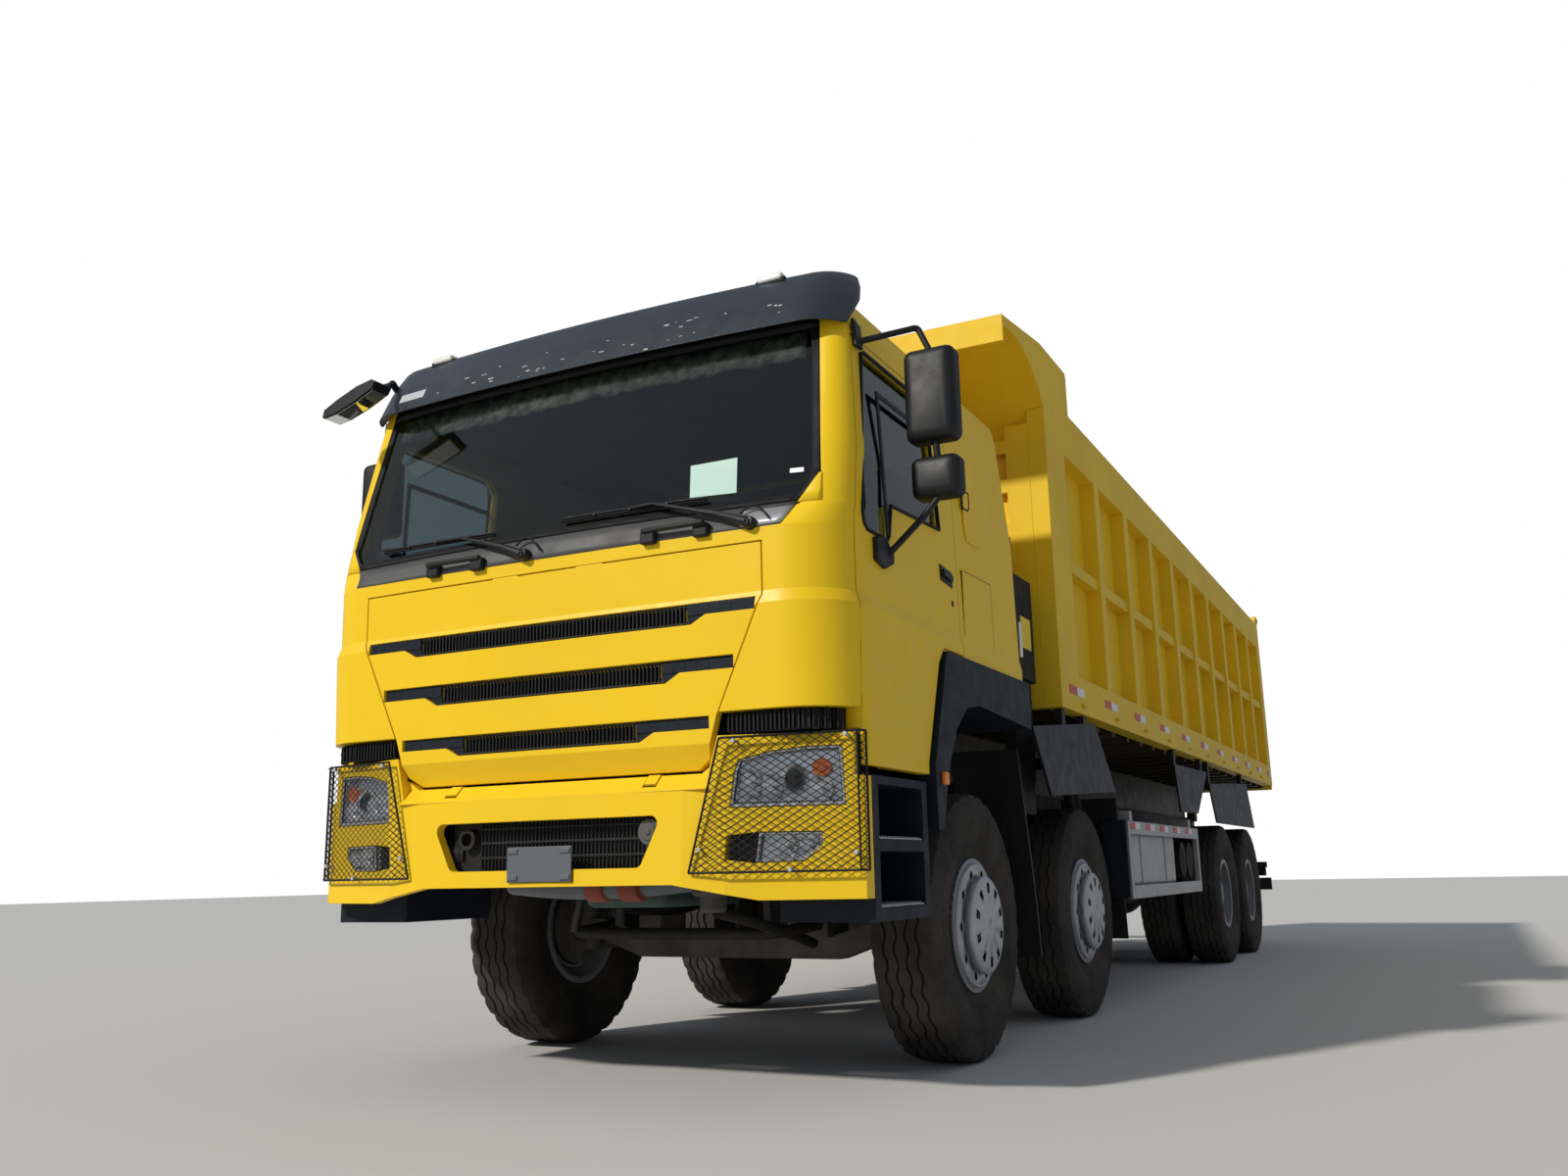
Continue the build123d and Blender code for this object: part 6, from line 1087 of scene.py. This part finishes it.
def underside():
    """Anti-roll bar, dampers, cooler pipes, hoses and air lines that show from below."""
    chassis_pipe("anti_roll_bar", 0.024, "chassis_black", (-520, -260, 560), (-510, -560, 545),
                 (-440, -640, 540), (440, -640, 540), (510, -560, 545), (520, -260, 560))
    for side, word in SIDES[::-1]:
        damper = bmesh.new()
        x = side * 480
        rod_in(damper, at(x, -640, 545), at(x * 0.93, -600, 800), 0.014, 12)
        rod_in(damper, at(x * 0.93, -330, 640), at(x * 0.9, -300, 900), 0.034, 20)
        rod_in(damper, at(x * 0.93, -335, 560), at(x * 0.93, -330, 700), 0.022, 16)
        finish(f"dampers_{word}", damper, "cast_grey", "chassis", bevel=0.003)
    # painted shade: the cooler pipe gets the dark slate_plate look and its sleeves a darkened red, for
    # the shade under the bumper
    chassis_pipe("cooler_pipe", 0.045, "slate_plate", (-330, -1240, 760), (-120, -1250, 740),
                 (150, -1240, 738), (330, -1200, 750), (480, -1050, 770), (520, -820, 790))
    sleeves, gear = meshes(2)
    for x, y in ((40, -1243), (190, -1238)):
        rod_in(sleeves, at(x, y, 738), at(x + 80, y, 740), 0.055, 24)
    finish("cooler_sleeves", sleeves, "hose_red", "chassis", bevel=0.006)
    boxes("sump", "dull_green", "chassis", (at(-180, -980, 655), at(200, -330, 745)), bevel=0.03)
    for n, x in enumerate((300, 318, 336)):
        chassis_pipe(f"air_line_{n + 1}", 0.007, "rubber_seal", (x, -1100, 815), (x + 6, -700, 790),
                     (x - 8, -200, 808), (x + 4, 300, 800), (x, 900, 812))
    block(gear, (430, 560), (-1160, -1040), (700, 900))
    rod_in(gear, at(495, -1100, 640), at(495, -1100, 720), 0.05, 20)
    finish("steering_box", gear, "cast_grey", "chassis", bevel=0.015)
    chassis_pipe("drag_link", 0.022, "chassis_black", (500, -1080, 640), (490, -560, 560),
                 (460, -190, 480))


def guard_details():
    """Open side guards with their patches, bolts, and the two bent hoops above the tank."""
    red, white, rails, ends, bolts = meshes(5)
    for side in (1, -1):
        for z in (590, 967):
            block(rails, (1205, 1241), (2500, 4770), (z, z + 78), side)
        for y in (2500, 4716):
            block(rails, (1205, 1240), (y, y + 54), (592, 1043), side)
        block(ends, (1090, 1238), (2442, 2482), (600, 1050), side)
        for y in (2560, 4440):
            block(rails, (428, 1239), (y, y + 60), (1046, 1104), side)
        for y in range(2560, 4710, 430):
            block(red, (1240.5, 1243.5), (y, y + 120), (998, 1036), side)
            block(white, (1240.5, 1243.5), (y + 120, y + 240), (998, 1036), side)
        for y in range(1150, 9150, 200):
            for z in (850, 1075):
                rod_in(bolts, at(side * 424, y, z), at(side * 436, y, z), 0.012, 6)
    finish("guard_end_plates", ends, "dark_trim", "chassis", bevel=0.004)
    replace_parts(finish("guard_rails", rails, "silver_metal", "chassis", "silver_metal", bevel=0.003),
                "side_guards")
    finish("guard_patches_red", red, "red_patch", "chassis")
    finish("guard_patches_white", white, "white_patch", "chassis")
    for n, y in enumerate((2240, 2380)):
        chassis_pipe(f"hoop_{n + 1}", 0.030, "chassis_black", (520, y, 1060), (560, y, 1330),
                     (700, y, 1400), (880, y, 1380), (960, y, 1250), (980, y, 1070))
    finish("rail_bolts", bolts, "chassis_black", "chassis")


def tank_details():
    """Label, gauge and pipe of the oil tank behind the cab."""
    low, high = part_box("hydraulic_tank")
    boxes("tank_label", "yellow_label", "chassis",
          ((high.x, low.y + 0.10, 1.86), (high.x + 0.003, low.y + 0.26, 2.02)))
    boxes("tank_gauge", "chrome", "chassis",
          ((high.x - 0.001, low.y + 0.045, 1.80), (high.x + 0.014, low.y + 0.075, 1.98)), bevel=0.004)
    chassis_pipe("oil_pipe", 0.022, "rubber_seal", (700, 1060, 1720), (640, 1110, 1400),
                 (520, 1080, 1180), (360, 960, 1060))


# Stage

CAMERA_SPOT = (3.013, -9.341, 0.779)
CAMERA_YAW = math.radians(27.095)
CAMERA_PITCH = math.radians(12.391)
CAMERA_ROLL = math.radians(-1.094)
CAMERA_LENS = 29.777
SUN_STRENGTH, SKY_STRENGTH = 2.8, 0.33
SUN_FROM = (-0.42, -0.78, 0.62)


def stage():
    """Floor, lights and world."""
    mesh = bmesh.new()
    bmesh.ops.create_grid(mesh, x_segments=1, y_segments=1, size=60.0)
    floor = linked("floor", baked("floor", mesh))
    material = bpy.data.materials.new("floor")
    material.use_nodes = True
    fill(material.node_tree, material.node_tree.nodes["Principled BSDF"],
         {"Base Color": (0.62, 0.61, 0.59, 1.0), "Roughness": 0.9})
    floor.data.materials.append(material)

    world = bpy.data.worlds.new("studio")
    bpy.context.scene.world = world
    world.use_nodes = True
    tree = world.node_tree
    tree.nodes.clear()
    seen = node(tree, "LightPath", {}, "Is Camera Ray")
    sky = node(tree, "Background", {"Color": (0.80, 0.88, 1.0, 1.0), "Strength": SKY_STRENGTH})
    white = node(tree, "Background", {"Color": (1.0, 1.0, 1.0, 1.0)})
    mix = node(tree, "MixShader", {0: seen, 1: sky, 2: white})
    fill(tree, tree.nodes.new("ShaderNodeOutputWorld"), {"Surface": mix})

    sun = bpy.data.lights.new("sun", "SUN")
    sun.energy = SUN_STRENGTH
    sun.angle = math.radians(3.0)
    sun.color = (1.0, 0.96, 0.90)
    linked("sun", sun).rotation_euler = Vector(SUN_FROM).to_track_quat("Z", "Y").to_euler()


def camera():
    """The photograph's viewpoint, solved from the truck's own sizes."""
    level = Vector((-math.sin(CAMERA_YAW), math.cos(CAMERA_YAW), 0.0))
    forward = level * math.cos(CAMERA_PITCH) + Vector((0, 0, math.sin(CAMERA_PITCH)))
    right = Vector((math.cos(CAMERA_YAW), math.sin(CAMERA_YAW), 0.0))
    up = right.cross(forward)
    cos, sin = math.cos(CAMERA_ROLL), math.sin(CAMERA_ROLL)
    turn = Matrix((cos * right + sin * up, cos * up - sin * right, -forward))
    data = bpy.data.cameras.new("camera")
    data.lens = CAMERA_LENS
    data.sensor_width = 36.0
    data.sensor_fit = "HORIZONTAL"
    view = linked("camera", data)
    view.matrix_world = Matrix.Translation(CAMERA_SPOT) @ turn.transposed().to_4x4()
    bpy.context.scene.camera = view
    bpy.context.scene.view_settings.view_transform = "Standard"


def darken_below(material):
    """Turns every face of a finish that doesn't look up dark: painted shade on the underside."""
    tree = material.node_tree
    colour = tree.nodes["Principled BSDF"].inputs["Base Color"]
    paint = colour.links[0].from_socket
    facing = node(tree, "TexCoord", {}, "Normal")
    upward = node(tree, "SeparateXYZ", {"Vector": facing}, "Z")
    share = node(tree, "MapRange", {"Value": upward, "From Min": 0.2, "From Max": 0.8})
    tree.links.new(blend(tree, share, UNDERSIDE_SHADE, paint), colour)


def dress_nodes():
    """Gives each CAD node the material of its slot."""
    for row in frame["record"]["subparts"]:
        materials = NODES[row["node"]].data.materials
        materials.clear()
        materials.append(LOOKS[row["material_slot"]])
    # the bed floor's paint turns dark on faces that don't look up: painted shade under the bed
    under = LOOKS["bed_paint"].copy()
    under.name = "bed_floor_paint"
    darken_below(under)
    NODES["bed_floor"].data.materials[0] = under


camera()
stage()
dress_nodes()
wheels()
front_lamps()
guards()
rear_lamps()
bumper_details()
grille_details()
cowl()
wiper("left", (886, 1992), (470, 2128), (685, 2118), (50, 2122))
wiper("right", (-96, 1998), (-440, 2120), (-277, 2112), (-901, 2128))
screen_details()
visor()
door_details()
mirrors()
cab_side_details()
kerb_glass()
lug_covers()
cab_inside()
bed_details()
underside()
guard_details()
tank_details()
